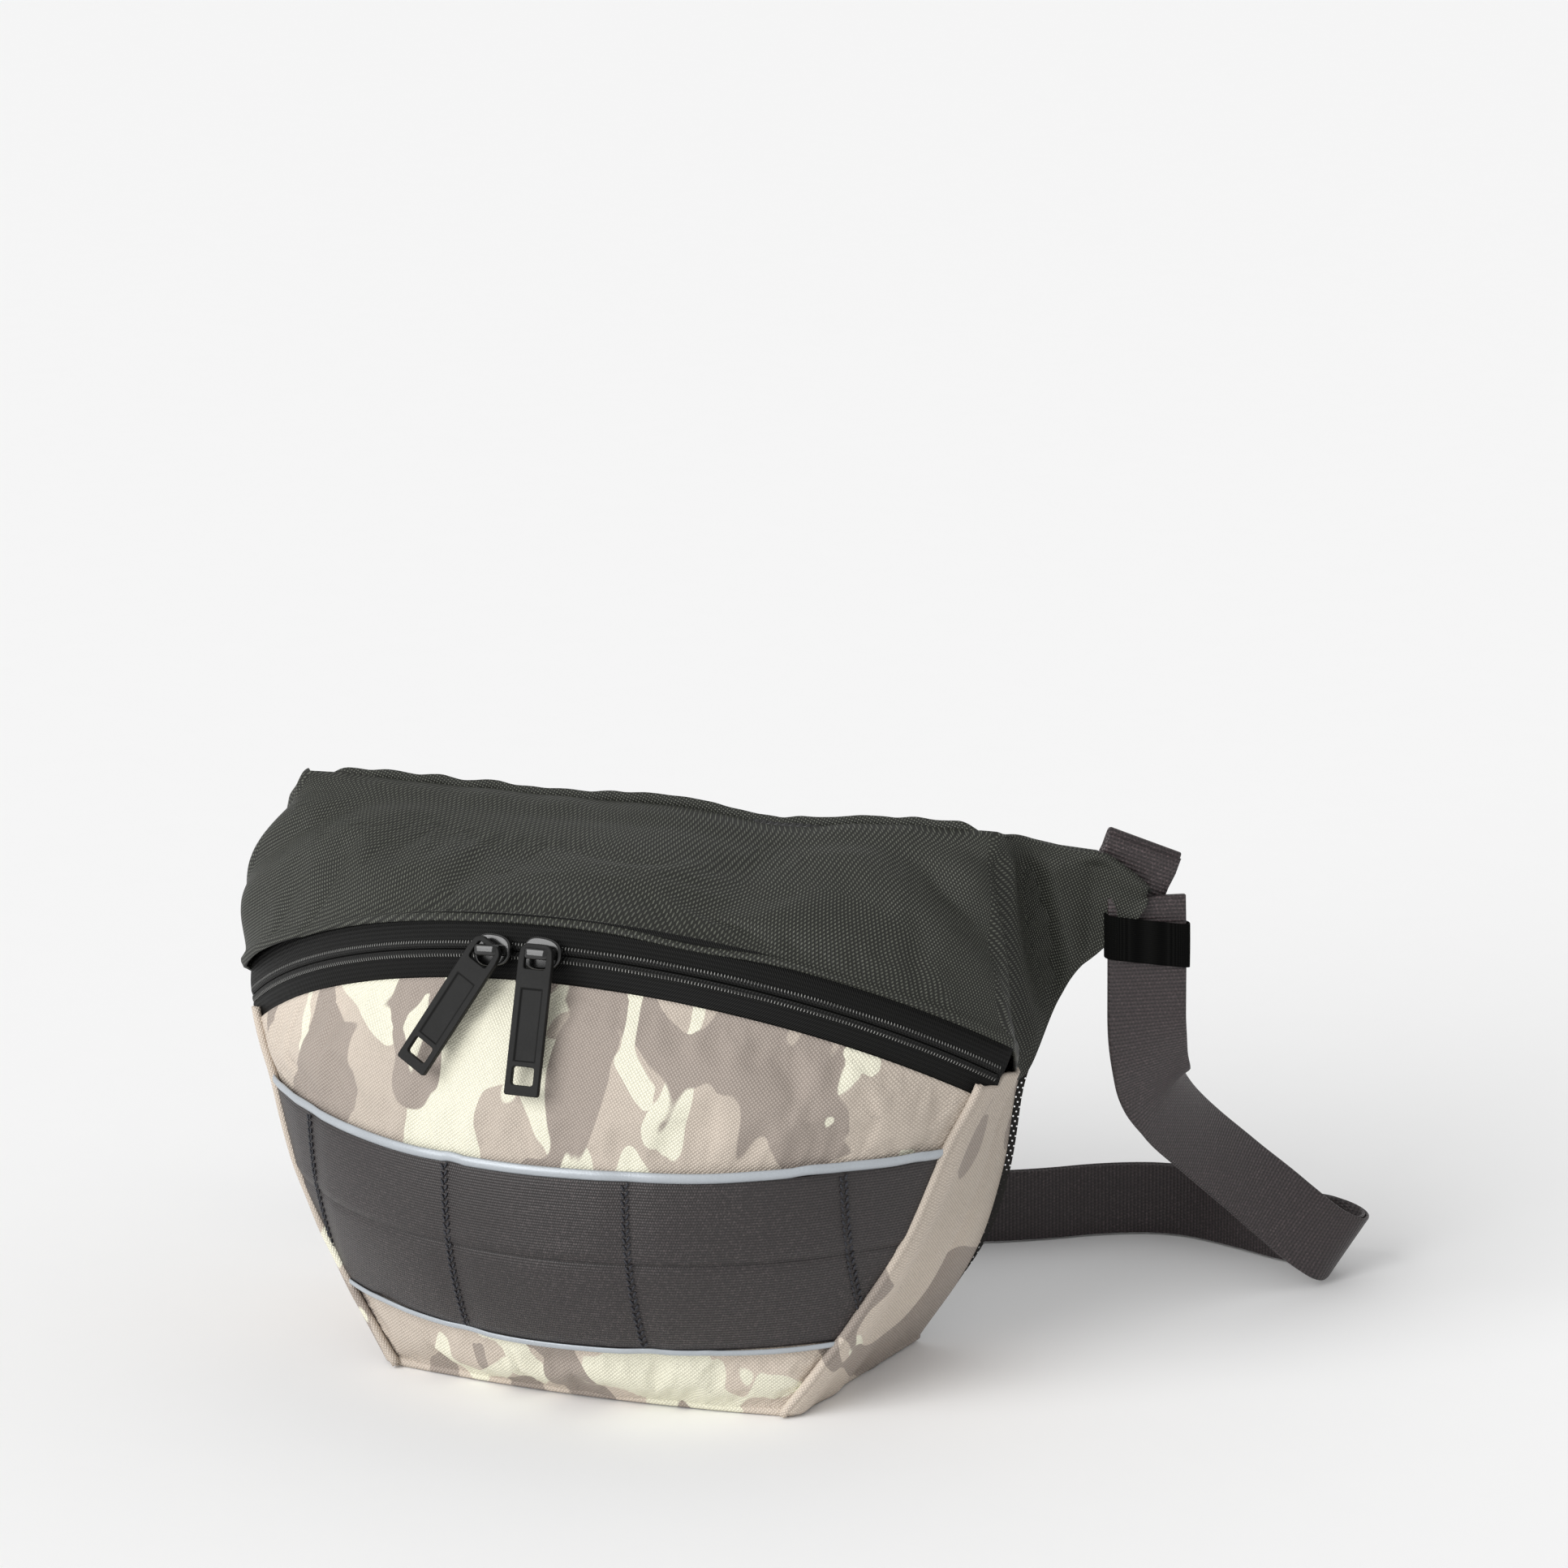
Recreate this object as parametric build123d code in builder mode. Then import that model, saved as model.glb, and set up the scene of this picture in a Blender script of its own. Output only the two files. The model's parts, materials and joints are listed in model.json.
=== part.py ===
from build123d import *
import math
import os

# Waist bag with an arched double-slider zipper, padded wings and a doubled waist strap.
# Millimetres. X runs to the bag's own right, Y from the front panel to the back, Z up.
# The origin is on the floor, midway between the front and back edges of the base.

os.makedirs("parts", exist_ok=True)

# ---- driving dimensions ----
bag_width = 306.0           # between the zipper ends, the widest place of the pouch
bag_height = 214.0          # floor to the top edge
base_width = 164.0          # front edge of the base
base_depth = 90.0           # front edge to back edge of the base
front_bulge = 48.0          # how far the front panel stands out in front of the base edge
seam_set_back = 34.0        # how far the front seams lean back from the base to the zipper ends
skin = 2.0                  # sewn shell: outer fabric, foam and lining together
back_pad = 7.0              # padded back panel with its mesh
zipper_end_height = 133.0
zipper_end_y = -10.0
zipper_rise = 77.5          # rise of the zipper arc above its chord, along its own plane
zipper_tilt = 39.2          # degrees that the plane of the zipper arc rises towards the front

webbing_width = 30.0
webbing_thickness = 1.6
layer_gap = 0.5             # air between layers of webbing that lie together
strap_gap = 2.0             # between the end of a strap and the buckle part that it is fixed to
panel_bottom = 33.0         # webbing panel on the front
panel_split = 72.0
panel_top = 108.0
top_tape_height = 4.0
bottom_tape_height = 2.4
cloth_thickness = 1.4       # webbing rows and zipper tapes, over the shell
stitch_pitch = 72.0
stitch_width = 3.0

tape_width = 9.5            # each half of the zipper
coil_radius = 1.2
coil_gap = 0.3              # between the two closed coils
slider_length = 11.0
slider_width = 9.0
slider_thickness = 3.0
slider_clearance = 0.068    # between the lower coil and a slider
rod_radius = 1.0
post_spacing = 6.8
post_width = 1.6
left_slider_angle = -6.4    # degrees along the zipper arc, from its top
right_slider_angle = -0.4
pull_length = 54.0
pull_width = 13.6
pull_thickness = 2.4
ring_hole = 2.2            # radius of the hole
ring_wire = 1.4
pull_swing = -32.0          # the left pull lies swung to one side
window_width = 8.0
window_height = 6.5

wing_thickness = 7.0
wing_root_low = 134.0
wing_top_drop = 3.0         # top of a wing's root below the top of the pouch
wing_tip_height = 27.0
wing_tip_drop = {"right": 38.0, "left": 64.0}   # low corner of each tip below the top of the pouch
keeper_height = 13.0
keeper_wall = 1.4
clearance = 0.5

half_width = bag_width / 2
base_front = -base_depth / 2
base_back = base_depth / 2
wing_root_high = bag_height - wing_top_drop

# ---- the zipper arc, a plane circle leaning forward ----
arc_radius = half_width ** 2 / (2 * zipper_rise) + zipper_rise / 2
tilt = math.radians(zipper_tilt)
arc_up = Vector(0, -math.cos(tilt), math.sin(tilt))
arc_axis = Vector(0, math.sin(tilt), math.cos(tilt))
chord_middle = Vector(0, zipper_end_y, zipper_end_height)
arc_centre = chord_middle - arc_up * (arc_radius - zipper_rise)
arc_end_angle = math.degrees(math.asin(half_width / arc_radius))
zipper_plane = Plane(origin=chord_middle, x_dir=(1, 0, 0), z_dir=arc_axis)
panel_lean = 23.0           # degrees between the front panel below the zipper and the arc's axis


def arc_frame(angle):
    """Plane on the zipper at an angle: x along the chain, y up the panel, z outwards."""
    turn = math.radians(angle)
    outward = Vector(math.sin(turn), 0, 0) + arc_up * math.cos(turn)
    along = Vector(math.cos(turn), 0, 0) - arc_up * math.sin(turn)
    lean = math.radians(panel_lean)
    normal = outward * math.cos(lean) - arc_axis * math.sin(lean)
    return Plane(origin=arc_centre + outward * arc_radius, x_dir=along, z_dir=normal)


# ---- the pouch, by level sections: height, side, side depth, front depth, back side, back depth ----
def section_sizes():
    low = zipper_end_height / 133.0
    high = (bag_height - zipper_end_height) / 81.0
    end = zipper_end_height
    wide = half_width
    base = base_width / 2
    spread = wide - base
    front = base_front
    bulge = front_bulge
    back = base_back
    return [
        (0.0, base, front, front - 5, base + 18, back),
        (36 * low, base + 0.34 * spread, front + 8, front - 0.71 * bulge, wide - 31, back + 7),
        (72 * low, base + 0.64 * spread, front + 17, front - 0.98 * bulge, wide - 19, back + 7),
        (108 * low, base + 0.84 * spread, front + 26, front - bulge, wide - 12, back + 3),
        (end, wide, front + 34, front - 0.85 * bulge, wide - 4, back - 1),
        (end + 17 * high, wide - 1, front + 37, front - 0.73 * bulge, wide - 3, back - 4),
        (end + 33 * high, wide - 3, front + 42, front - 0.65 * bulge, wide - 4, back - 7),
        (end + 49 * high, wide - 6, front + 49, front - 0.52 * bulge, wide - 6, back - 11),
        (end + 67 * high, wide - 8, front + 56, front + 7, wide - 8, back - 15),
        (end + 81 * high, wide - 10, front + 63, front + 51, wide - 10, back - 18),
    ]


def pouch_loft(inset, back_inset, floor_inset, top_inset):
    """The pouch's form, shrunk by an inset (or grown by a negative one)."""
    rows = section_sizes()
    top = rows[-1][0]
    with BuildPart() as form:
        for height, side, side_y, front_y, back_side, back_y in rows:
            level = min(max(height, floor_inset), top - top_inset)
            with BuildSketch(Plane.XY.offset(level)):
                with BuildLine():
                    ThreePointArc(
                        (-side + inset, side_y + inset / 2),
                        (0, front_y + inset),
                        (side - inset, side_y + inset / 2),
                    )
                    Line((side - inset, side_y + inset / 2), (back_side - inset, back_y - back_inset))
                    Line((back_side - inset, back_y - back_inset), (-back_side + inset, back_y - back_inset))
                    Line((-back_side + inset, back_y - back_inset), (-side + inset, side_y + inset / 2))
                make_face()
        loft(ruled=True)
    return form.part


# The seam between front panel and gussets leans back as it rises.
seam_slope = seam_set_back / zipper_end_height
seam_plane = Plane(origin=(0, base_front, 0), x_dir=(1, 0, 0), z_dir=(0, 1, -seam_slope))

outer_form = pouch_loft(0, 0, 0, 0)
inner_form = pouch_loft(skin, back_pad, skin, skin)
cover_form = pouch_loft(-cloth_thickness, 0, 0, 0)


with BuildPart() as cloth_layer:
    add(cover_form)
    add(outer_form, mode=Mode.SUBTRACT)

with BuildPart() as back_zone:
    with BuildSketch(Plane.YZ) as back_outline:
        with BuildLine():
            levels = section_sizes()
            edge = [(level[5] - back_pad, level[0]) for level in levels]
            Polyline(*edge, (base_back + 60, bag_height), (base_back + 60, 0), close=True)
        make_face()
    extrude(amount=bag_width, both=True)


coil_end_angle = arc_end_angle - 1.0
coil_lift = cloth_thickness - 0.2      # coil centre above the shell


def coil(side, thickness_radius):
    """One closed coil along the arc; side is +1 above the closing line and -1 below it."""
    offset_along_axis = side * (coil_radius + coil_gap / 2)
    radius = arc_radius + coil_lift
    centre = arc_centre + arc_axis * offset_along_axis
    turn = math.radians(coil_end_angle)
    start = centre + arc_up * (radius * math.cos(turn)) - Vector(radius * math.sin(turn), 0, 0)
    end = centre + arc_up * (radius * math.cos(turn)) + Vector(radius * math.sin(turn), 0, 0)
    with BuildPart() as strand:
        with BuildLine() as path:
            ThreePointArc(start, centre + arc_up * radius, end)
        with BuildSketch(Plane(origin=path.line @ 0, z_dir=path.line % 0)):
            Circle(thickness_radius)
        sweep()
    return strand


groove_clearance = 0.15
with BuildPart() as coil_grooves:
    add(coil(1, coil_radius + groove_clearance).part)
    add(coil(-1, coil_radius + groove_clearance).part)


def finish(builder, name):
    builder.part.label = name
    export_step(builder.part, f"parts/{name}.step")


# ---- shell panels ----
with BuildPart() as shell:
    add(outer_form)
    add(inner_form, mode=Mode.SUBTRACT)
    add(coil_grooves.part, mode=Mode.SUBTRACT)

with BuildPart() as bottom_panel:
    add(shell.part)
    add(back_zone.part, mode=Mode.SUBTRACT)
    split(bisect_by=Plane.XY.offset(skin), keep=Keep.BOTTOM)
finish(bottom_panel, "bottom_panel")

with BuildPart() as front_panel:
    add(shell.part)
    add(back_zone.part, mode=Mode.SUBTRACT)
    split(bisect_by=Plane.XY.offset(skin), keep=Keep.TOP)
    split(bisect_by=seam_plane, keep=Keep.BOTTOM)
    split(bisect_by=zipper_plane, keep=Keep.BOTTOM)
finish(front_panel, "front_panel")

with BuildPart() as gussets:
    add(shell.part)
    add(back_zone.part, mode=Mode.SUBTRACT)
    split(bisect_by=Plane.XY.offset(skin), keep=Keep.TOP)
    split(bisect_by=seam_plane, keep=Keep.TOP)
    split(bisect_by=zipper_plane, keep=Keep.BOTTOM)

with BuildPart() as gusset_right:
    add(gussets.part)
    split(bisect_by=Plane.YZ, keep=Keep.TOP)
finish(gusset_right, "gusset_right")

with BuildPart() as gusset_left:
    add(gussets.part)
    split(bisect_by=Plane.YZ, keep=Keep.BOTTOM)
finish(gusset_left, "gusset_left")

with BuildPart() as top_panel:
    add(shell.part)
    add(back_zone.part, mode=Mode.SUBTRACT)
    split(bisect_by=zipper_plane, keep=Keep.TOP)
finish(top_panel, "top_panel")

with BuildPart() as back_panel:
    add(shell.part)
    add(back_zone.part, mode=Mode.INTERSECT)
finish(back_panel, "back_panel")
print("shell pieces", [len(p.part.solids()) for p in (bottom_panel, front_panel, gusset_right, gusset_left,
                                                       top_panel, back_panel)])

# ---- webbing panel, reflective tapes and stitching on the front ----
with BuildPart() as cloth_front:
    add(cloth_layer.part)
    split(bisect_by=seam_plane, keep=Keep.BOTTOM)


def front_band(low, high):
    """A level strip of the cloth layer, between two heights."""
    with BuildPart() as band:
        add(cloth_front.part)
        split(bisect_by=Plane.XY.offset(low), keep=Keep.TOP)
        split(bisect_by=Plane.XY.offset(high), keep=Keep.BOTTOM)
    return band


row_gap = 0.3
bands = {
    "reflective_tape_bottom": (panel_bottom - bottom_tape_height, panel_bottom - row_gap),
    "webbing_row_lower": (panel_bottom, panel_split - row_gap),
    "webbing_row_upper": (panel_split, panel_top - top_tape_height - row_gap),
    "reflective_tape_top": (panel_top - top_tape_height, panel_top),
}
for name, (low, high) in bands.items():
    finish(front_band(low, high), name)

stitch_form = pouch_loft(-cloth_thickness - 0.7, 0, 0, 0)
with BuildPart() as webbing_stitching:
    add(stitch_form)
    add(cover_form, mode=Mode.SUBTRACT)
    split(bisect_by=seam_plane, keep=Keep.BOTTOM)
    split(bisect_by=Plane.XY.offset(panel_bottom), keep=Keep.TOP)
    split(bisect_by=Plane.XY.offset(panel_top - top_tape_height - row_gap), keep=Keep.BOTTOM)
    with BuildSketch(Plane.XY) as stitch_rows:
        with GridLocations(stitch_pitch, 1, 4, 1):
            Rectangle(stitch_width, 4 * base_depth)
    extrude(amount=bag_height, mode=Mode.INTERSECT)
finish(webbing_stitching, "webbing_stitching")

# ---- zipper: two tapes and two coils ----
tape_inner = 2 * coil_radius + coil_gap
with BuildPart() as cloth_before_ends:
    add(cloth_layer.part)
    add(coil_grooves.part, mode=Mode.SUBTRACT)
    split(bisect_by=Plane(origin=(0, zipper_end_y, 0), x_dir=(1, 0, 0), z_dir=(0, 1, 0)), keep=Keep.BOTTOM)

with BuildPart() as zipper_tape_upper:
    add(cloth_before_ends.part)
    split(bisect_by=zipper_plane.offset(tape_inner), keep=Keep.TOP)
    split(bisect_by=zipper_plane.offset(tape_inner + tape_width), keep=Keep.BOTTOM)
finish(zipper_tape_upper, "zipper_tape_upper")

with BuildPart() as zipper_tape_lower:
    add(cloth_before_ends.part)
    split(bisect_by=zipper_plane.offset(-tape_inner), keep=Keep.BOTTOM)
    split(bisect_by=zipper_plane.offset(-tape_inner - tape_width), keep=Keep.TOP)
finish(zipper_tape_lower, "zipper_tape_lower")

finish(coil(1, coil_radius), "zipper_coil_upper")
finish(coil(-1, coil_radius), "zipper_coil_lower")

# ---- sliders and pulls ----
lean_angle = math.radians(panel_lean)
coil_top = (coil_lift * math.cos(lean_angle) + (coil_radius + coil_gap / 2) * math.sin(lean_angle)
            + coil_radius)
surface_lift = coil_top + slider_clearance   # underside of a slider above the shell
rod_height = surface_lift + slider_thickness + ring_hole + ring_wire + 1.4 * clearance


def slider(angle, name):
    frame = arc_frame(angle)
    with BuildPart() as body:
        with BuildSketch(frame.offset(surface_lift)):
            RectangleRounded(slider_length, slider_width, 2.6)
        extrude(amount=slider_thickness)
        chamfer(body.faces().sort_by(Axis(frame.origin, frame.z_dir))[-1].edges(), 0.6)
        with BuildSketch(frame.offset(surface_lift + slider_thickness)):
            with GridLocations(post_spacing + post_width, 1, 2, 1):
                Rectangle(post_width, 2 * rod_radius + 0.8)
        extrude(amount=rod_height - surface_lift - slider_thickness)
        rod_plane = Plane(origin=frame.from_local_coords((-post_spacing / 2 - post_width, 0, rod_height)),
                          z_dir=frame.x_dir)
        with BuildSketch(rod_plane):
            Circle(rod_radius)
        extrude(amount=post_spacing + 2 * post_width)
    finish(body, name)
    return frame


def pull(frame, swing, name):
    hub = frame.from_local_coords((0, 0, rod_height))
    turn = math.radians(swing)
    down = -frame.y_dir * math.cos(turn) + frame.x_dir * math.sin(turn)
    across = down.cross(frame.z_dir)
    drop = ring_hole - rod_radius - clearance
    ring_centre = hub + down * drop
    tab_start = ring_centre + down * (ring_hole + ring_wire / 2)
    tab_plane = Plane(origin=tab_start - frame.z_dir * (pull_thickness / 2 + 1.0), x_dir=across,
                      z_dir=frame.z_dir)
    reach = pull_length - ring_hole * 2 - ring_wire
    with BuildPart() as tab:
        with BuildSketch(Plane(origin=ring_centre - across * ring_wire / 2, z_dir=across)):
            Circle(ring_hole + ring_wire)
            Circle(ring_hole, mode=Mode.SUBTRACT)
        extrude(amount=ring_wire)
        side = -1 if tab_plane.y_dir.dot(down) < 0 else 1
        with BuildSketch(tab_plane):
            with BuildLine():
                Polyline(
                    (-2.2, side * -0.2),
                    (2.2, side * -0.2),
                    (pull_width / 2 - 1.5, side * 5.5),
                    (pull_width / 2, side * 9.0),
                    (pull_width / 2, side * (reach - 2)),
                    (pull_width / 2 - 2, side * reach),
                    (-pull_width / 2 + 2, side * reach),
                    (-pull_width / 2, side * (reach - 2)),
                    (-pull_width / 2, side * 9.0),
                    (-pull_width / 2 + 1.5, side * 5.5),
                    close=True,
                )
            make_face()
            with Locations((0, side * (reach - 3.4 - window_height / 2))):
                RectangleRounded(window_width, window_height, 1.0, mode=Mode.SUBTRACT)
        extrude(amount=pull_thickness)
        with BuildSketch(tab_plane.offset(pull_thickness)):
            with Locations((0, side * (reach / 2 - 0.5))):
                RectangleRounded(pull_width - 4.0, reach - 22.0, 1.2)
        extrude(amount=-0.5, mode=Mode.SUBTRACT)
    finish(tab, name)


left_frame = slider(left_slider_angle, "slider_left")
right_frame = slider(right_slider_angle, "slider_right")
pull(left_frame, pull_swing, "pull_left")
pull(right_frame, 0.0, "pull_right")
for name, frame in (("left", left_frame), ("right", right_frame)):
    hub = frame.from_local_coords((0, 0, rod_height))
    print(name, "rod", tuple(round(v, 3) for v in hub), "along", tuple(round(v, 4) for v in frame.x_dir))
print("zipper arc centre", tuple(round(v, 3) for v in arc_centre),
      "axis", tuple(round(v, 4) for v in arc_axis), "radius", round(arc_radius, 2),
      "end angle", round(arc_end_angle, 2))

# ---- top binding ----
binding_height = 4.0
binding_depth = 5.0
top_half = section_sizes()[-1][1]
top_back = section_sizes()[-1][5]
with BuildPart() as top_binding:
    with BuildSketch(Plane.XY.offset(bag_height)):
        with Locations((0, top_back - binding_depth / 2)):
            Rectangle(2 * top_half, binding_depth)
    extrude(amount=binding_height)
    fillet(top_binding.edges().filter_by(Axis.X).group_by(Axis.Z)[-1], 1.5)
finish(top_binding, "top_binding")

# ---- padded wings, sewn to the sides of the back panel ----
wing_root = (half_width - 5.5, 38.0)
wings = {
    "right": {"turn": 28.0, "reach": 47.0, "tip_low": bag_height - wing_tip_drop["right"], "side": 1},
    "left": {"turn": 54.0, "reach": 52.0, "tip_low": bag_height - wing_tip_drop["left"], "side": -1},
}


def wing_directions(wing):
    turn = math.radians(wing["turn"])
    side = wing["side"]
    out = Vector(side * math.cos(turn), math.sin(turn), 0)
    face = Vector(side * math.sin(turn), -math.cos(turn), 0)
    root = Vector(side * wing_root[0], wing_root[1], 0)
    return root, out, face


for name, wing in wings.items():
    root, out, face = wing_directions(wing)
    reach = wing["reach"]
    low = wing["tip_low"]
    high = low + wing_tip_height
    up_sign = 1 if face.cross(out).Z > 0 else -1
    with BuildPart() as padded_wing:
        with BuildSketch(Plane(origin=root - face * (wing_thickness / 2), x_dir=out, z_dir=face)):
            with BuildLine():
                Polyline(
                    (reach, up_sign * low),
                    (reach, up_sign * high),
                    (0.55 * reach, up_sign * (0.6 * wing_root_high + 0.4 * high)),
                    (-12, up_sign * wing_root_high),
                    (-12, up_sign * wing_root_low),
                    (0.3 * reach, up_sign * (0.8 * wing_root_low + 0.2 * low)),
                    (0.62 * reach, up_sign * (0.45 * wing_root_low + 0.55 * low)),
                    close=True,
                )
            make_face()
        extrude(amount=wing_thickness)
        add(outer_form, mode=Mode.SUBTRACT)
    finish(padded_wing, f"wing_{name}")

# ---- folded webbing ends sewn on the wing tips ----
fold_layers = 3
fold_pitch = webbing_thickness + layer_gap
fold_thickness = fold_layers * webbing_thickness + (fold_layers - 1) * layer_gap
fold_height = wing_tip_height
anchor_reach = {"right": 46.0, "left": 43.0}
anchor_face = {"right": 1, "left": -1}     # in front of the right wing, behind the left one
anchor_origin = {}
for name, wing in wings.items():
    root, out, face = wing_directions(wing)
    front = face * anchor_face[name]
    seat = root + out * anchor_reach[name] + front * (wing_thickness / 2 + 0.3)
    low = wing["tip_low"] + 1.0
    anchor_origin[name] = seat + front * (fold_thickness / 2) + Vector(0, 0, low)
    with BuildPart() as anchor:
        for layer in range(fold_layers):
            layer_seat = seat + front * (layer * fold_pitch) + Vector(0, 0, low + fold_height / 2)
            with BuildSketch(Plane(origin=layer_seat, x_dir=out, z_dir=front)):
                Rectangle(webbing_width, fold_height)
            extrude(amount=webbing_thickness)
        fold_seat = seat + Vector(0, 0, low + fold_height - 1.0)
        with BuildSketch(Plane(origin=fold_seat, x_dir=out, z_dir=(0, 0, 1))) as fold_top:
            across = 1 if out.cross(front).Z > 0 else -1
            with Locations((0, across * fold_thickness / 2)):
                Rectangle(webbing_width, fold_thickness)
        extrude(amount=1.0)
    finish(anchor, f"strap_anchor_{name}")

# ---- webbing strap ----
def rounded_route(points):
    """Straight runs joined by arcs as large as the runs allow; prints each radius."""
    vectors = [Vector(*p) for p in points]
    radii = []
    for before, here, after in zip(vectors, vectors[1:], vectors[2:]):
        turn = math.radians((here - before).get_angle(after - here))
        shorter = min((here - before).length, (after - here).length)
        radii.append(0.45 * shorter / math.tan(turn / 2))
    print("radii", [round(r, 1) for r in radii])
    return FilletPolyline(*vectors, radius=radii)


def ribbon(points, widths, offset, name, step=9.0):
    """A flat strap along a route; widths gives the direction of its width at each point."""
    route = rounded_route(points)
    vectors = [Vector(*p) for p in points]
    marks = [0.0]
    for here, after in zip(vectors, vectors[1:]):
        marks.append(marks[-1] + (after - here).length)
    marks = [m / marks[-1] for m in marks]
    count = max(6, round(route.length / step))
    sections = []
    for index in range(count + 1):
        place = index / count
        span = max(i for i in range(len(marks) - 1) if marks[i] <= place + 1e-9)
        share = (place - marks[span]) / (marks[span + 1] - marks[span])
        width = Vector(*widths[span]) * (1 - share) + Vector(*widths[span + 1]) * share
        along = route % place
        width = (width - along * width.dot(along)).normalized()
        face = along.cross(width)
        centre = (route @ place) + face * offset
        with BuildSketch(Plane(origin=centre, x_dir=width, z_dir=along)) as section:
            Rectangle(webbing_width, webbing_thickness)
        sections.append(section.sketch.face())
    with BuildPart() as strap:
        for first in range(0, count, 4):
            loft(sections[first:first + 5], ruled=True)
    print(name, "length", round(route.length, 1), "volume", round(strap.part.volume),
          "section x length", round(route.length * webbing_width * webbing_thickness))
    finish(strap, name)


start = anchor_origin["right"]
hang = (start.X, start.Y)
lying = webbing_width / 2 + 0.6
buckle_y = 136.0
buckle_z = 20.0
buckle_plug_end = -8.0
main_points = [
    (hang[0], hang[1], start.Z - 0.3),
    (hang[0], hang[1], 134.0),
    (190, 64, 113),
    (188, 84, 94),
    (194, 110, 73),
    (205, 131, 53),
    (221, 145, 35),
    (236, 153, 22),
    (246, 160, 17),
    (247, 171, 16),
    (235, 177, 15.8),
    (213, 176, lying),
    (188, 186, lying + 0.1),
    (161, 194, lying),
    (135, 185, lying + 0.1),
    (109, 167, lying),
    (80, 153, lying + 0.2),
    (44, 143, 18),
    (buckle_plug_end + strap_gap, buckle_y, buckle_z),
]
right_out = wing_directions(wings["right"])[1]
level = (right_out.X, right_out.Y, 0)
main_widths = [
    level, level, (0.75, 0.65, 0.05), (0.3, 0.85, 0.35), (0.2, 0.72, 0.65), (0.2, 0.6, 0.77),
    (0.25, 0.45, 0.85), (0.25, 0.35, 0.9), (0.2, 0.2, 0.95), (0.1, 0.05, 1), (0, 0, 1), (0, 0, 1),
    (0, 0, 1), (0, 0, 1), (0, 0, 1), (0, 0, 1), (0, 0, 1), (0, 0, 1), (0, 0, 1),
]
ribbon(main_points, main_widths, 0.0, "strap_main")
ribbon(main_points, main_widths, fold_pitch, "strap_return")

left_start = anchor_origin["left"]
left_out = wing_directions(wings["left"])[1]
buckle_socket_end = -76.0
left_points = [
    (left_start.X, left_start.Y, left_start.Z - 0.3),
    (left_start.X, left_start.Y, 126),
    (-160, 88, 103),
    (-146, 105, 78),
    (-129, 120, 54),
    (-109, 131, 33),
    (-92, buckle_y, 20.6),
    (buckle_socket_end - strap_gap, buckle_y, buckle_z),
]
left_level = (left_out.X, left_out.Y, 0)
left_widths = [
    left_level, left_level, (-0.5, 0.8, 0.25), (-0.4, 0.6, 0.6), (-0.2, 0.3, 0.85), (0, 0.1, 1), (0, 0, 1),
    (0, 0, 1),
]
ribbon(left_points, left_widths, 0.0, "strap_left")

# ---- elastic keeper round the hanging strap ----
keeper_drop = 6.0
keeper_middle = start + Vector(0, 0, -keeper_drop - keeper_height / 2)
right_face = wing_directions(wings["right"])[2]
layers_depth = 2 * webbing_thickness + layer_gap + 2 * clearance
layers_width = webbing_width + 2 * clearance
keeper_seat = keeper_middle + right_face * (fold_pitch / 2)
with BuildPart() as keeper:
    keeper_foot = keeper_seat - Vector(0, 0, keeper_height / 2)
    keeper_base = Plane(origin=keeper_foot, x_dir=right_out, z_dir=(0, 0, 1))
    with BuildSketch(keeper_base):
        RectangleRounded(layers_width + 2 * keeper_wall, layers_depth + 2 * keeper_wall, 1.5)
        Rectangle(layers_width, layers_depth, mode=Mode.SUBTRACT)
    extrude(amount=keeper_height)
finish(keeper, "elastic_keeper")

# ---- side-release buckle behind the bag, standing on edge with the strap ----
buckle_width = 38.0
buckle_thickness = 9.6
buckle_wall = 1.8
socket_mouth = -34.0
mouth_gap = 0.7             # between the socket's mouth and the plug
arm_length = 26.0
arm_width = 4.6
arm_offset = 10.5
with BuildPart() as buckle_socket:
    with BuildSketch(Plane.XZ.offset(-buckle_y)):
        with Locations(((buckle_socket_end + socket_mouth) / 2, buckle_z)):
            RectangleRounded(socket_mouth - buckle_socket_end, buckle_width, 4)
    extrude(amount=buckle_thickness / 2, both=True)
    pocket_end = socket_mouth - arm_length - 3.0
    with BuildSketch(Plane.YZ.offset(pocket_end)):
        with Locations((buckle_y, buckle_z)):
            Rectangle(buckle_thickness - 2 * buckle_wall, buckle_width - 2 * buckle_wall)
    extrude(amount=socket_mouth - pocket_end, mode=Mode.SUBTRACT)
    with BuildSketch(Plane.XY.offset(buckle_z)):
        with Locations(((pocket_end + socket_mouth) / 2, buckle_y)):
            Rectangle(14, buckle_thickness - 2 * buckle_wall)
    extrude(amount=buckle_width, both=True, mode=Mode.SUBTRACT)
finish(buckle_socket, "buckle_socket")

with BuildPart() as buckle_plug:
    with BuildSketch(Plane.XZ.offset(-buckle_y)):
        with Locations(((socket_mouth + mouth_gap + buckle_plug_end) / 2, buckle_z)):
            RectangleRounded(buckle_plug_end - socket_mouth - mouth_gap, buckle_width, 3)
    extrude(amount=buckle_thickness / 2, both=True)
    with BuildSketch(Plane.XZ.offset(-buckle_y)):
        with Locations((buckle_plug_end - 10.0, buckle_z)):
            with GridLocations(9.0, 1, 2, 1):
                Rectangle(4.0, webbing_width + 1)
    extrude(amount=buckle_thickness, both=True, mode=Mode.SUBTRACT)
finish(buckle_plug, "buckle_plug")

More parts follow.
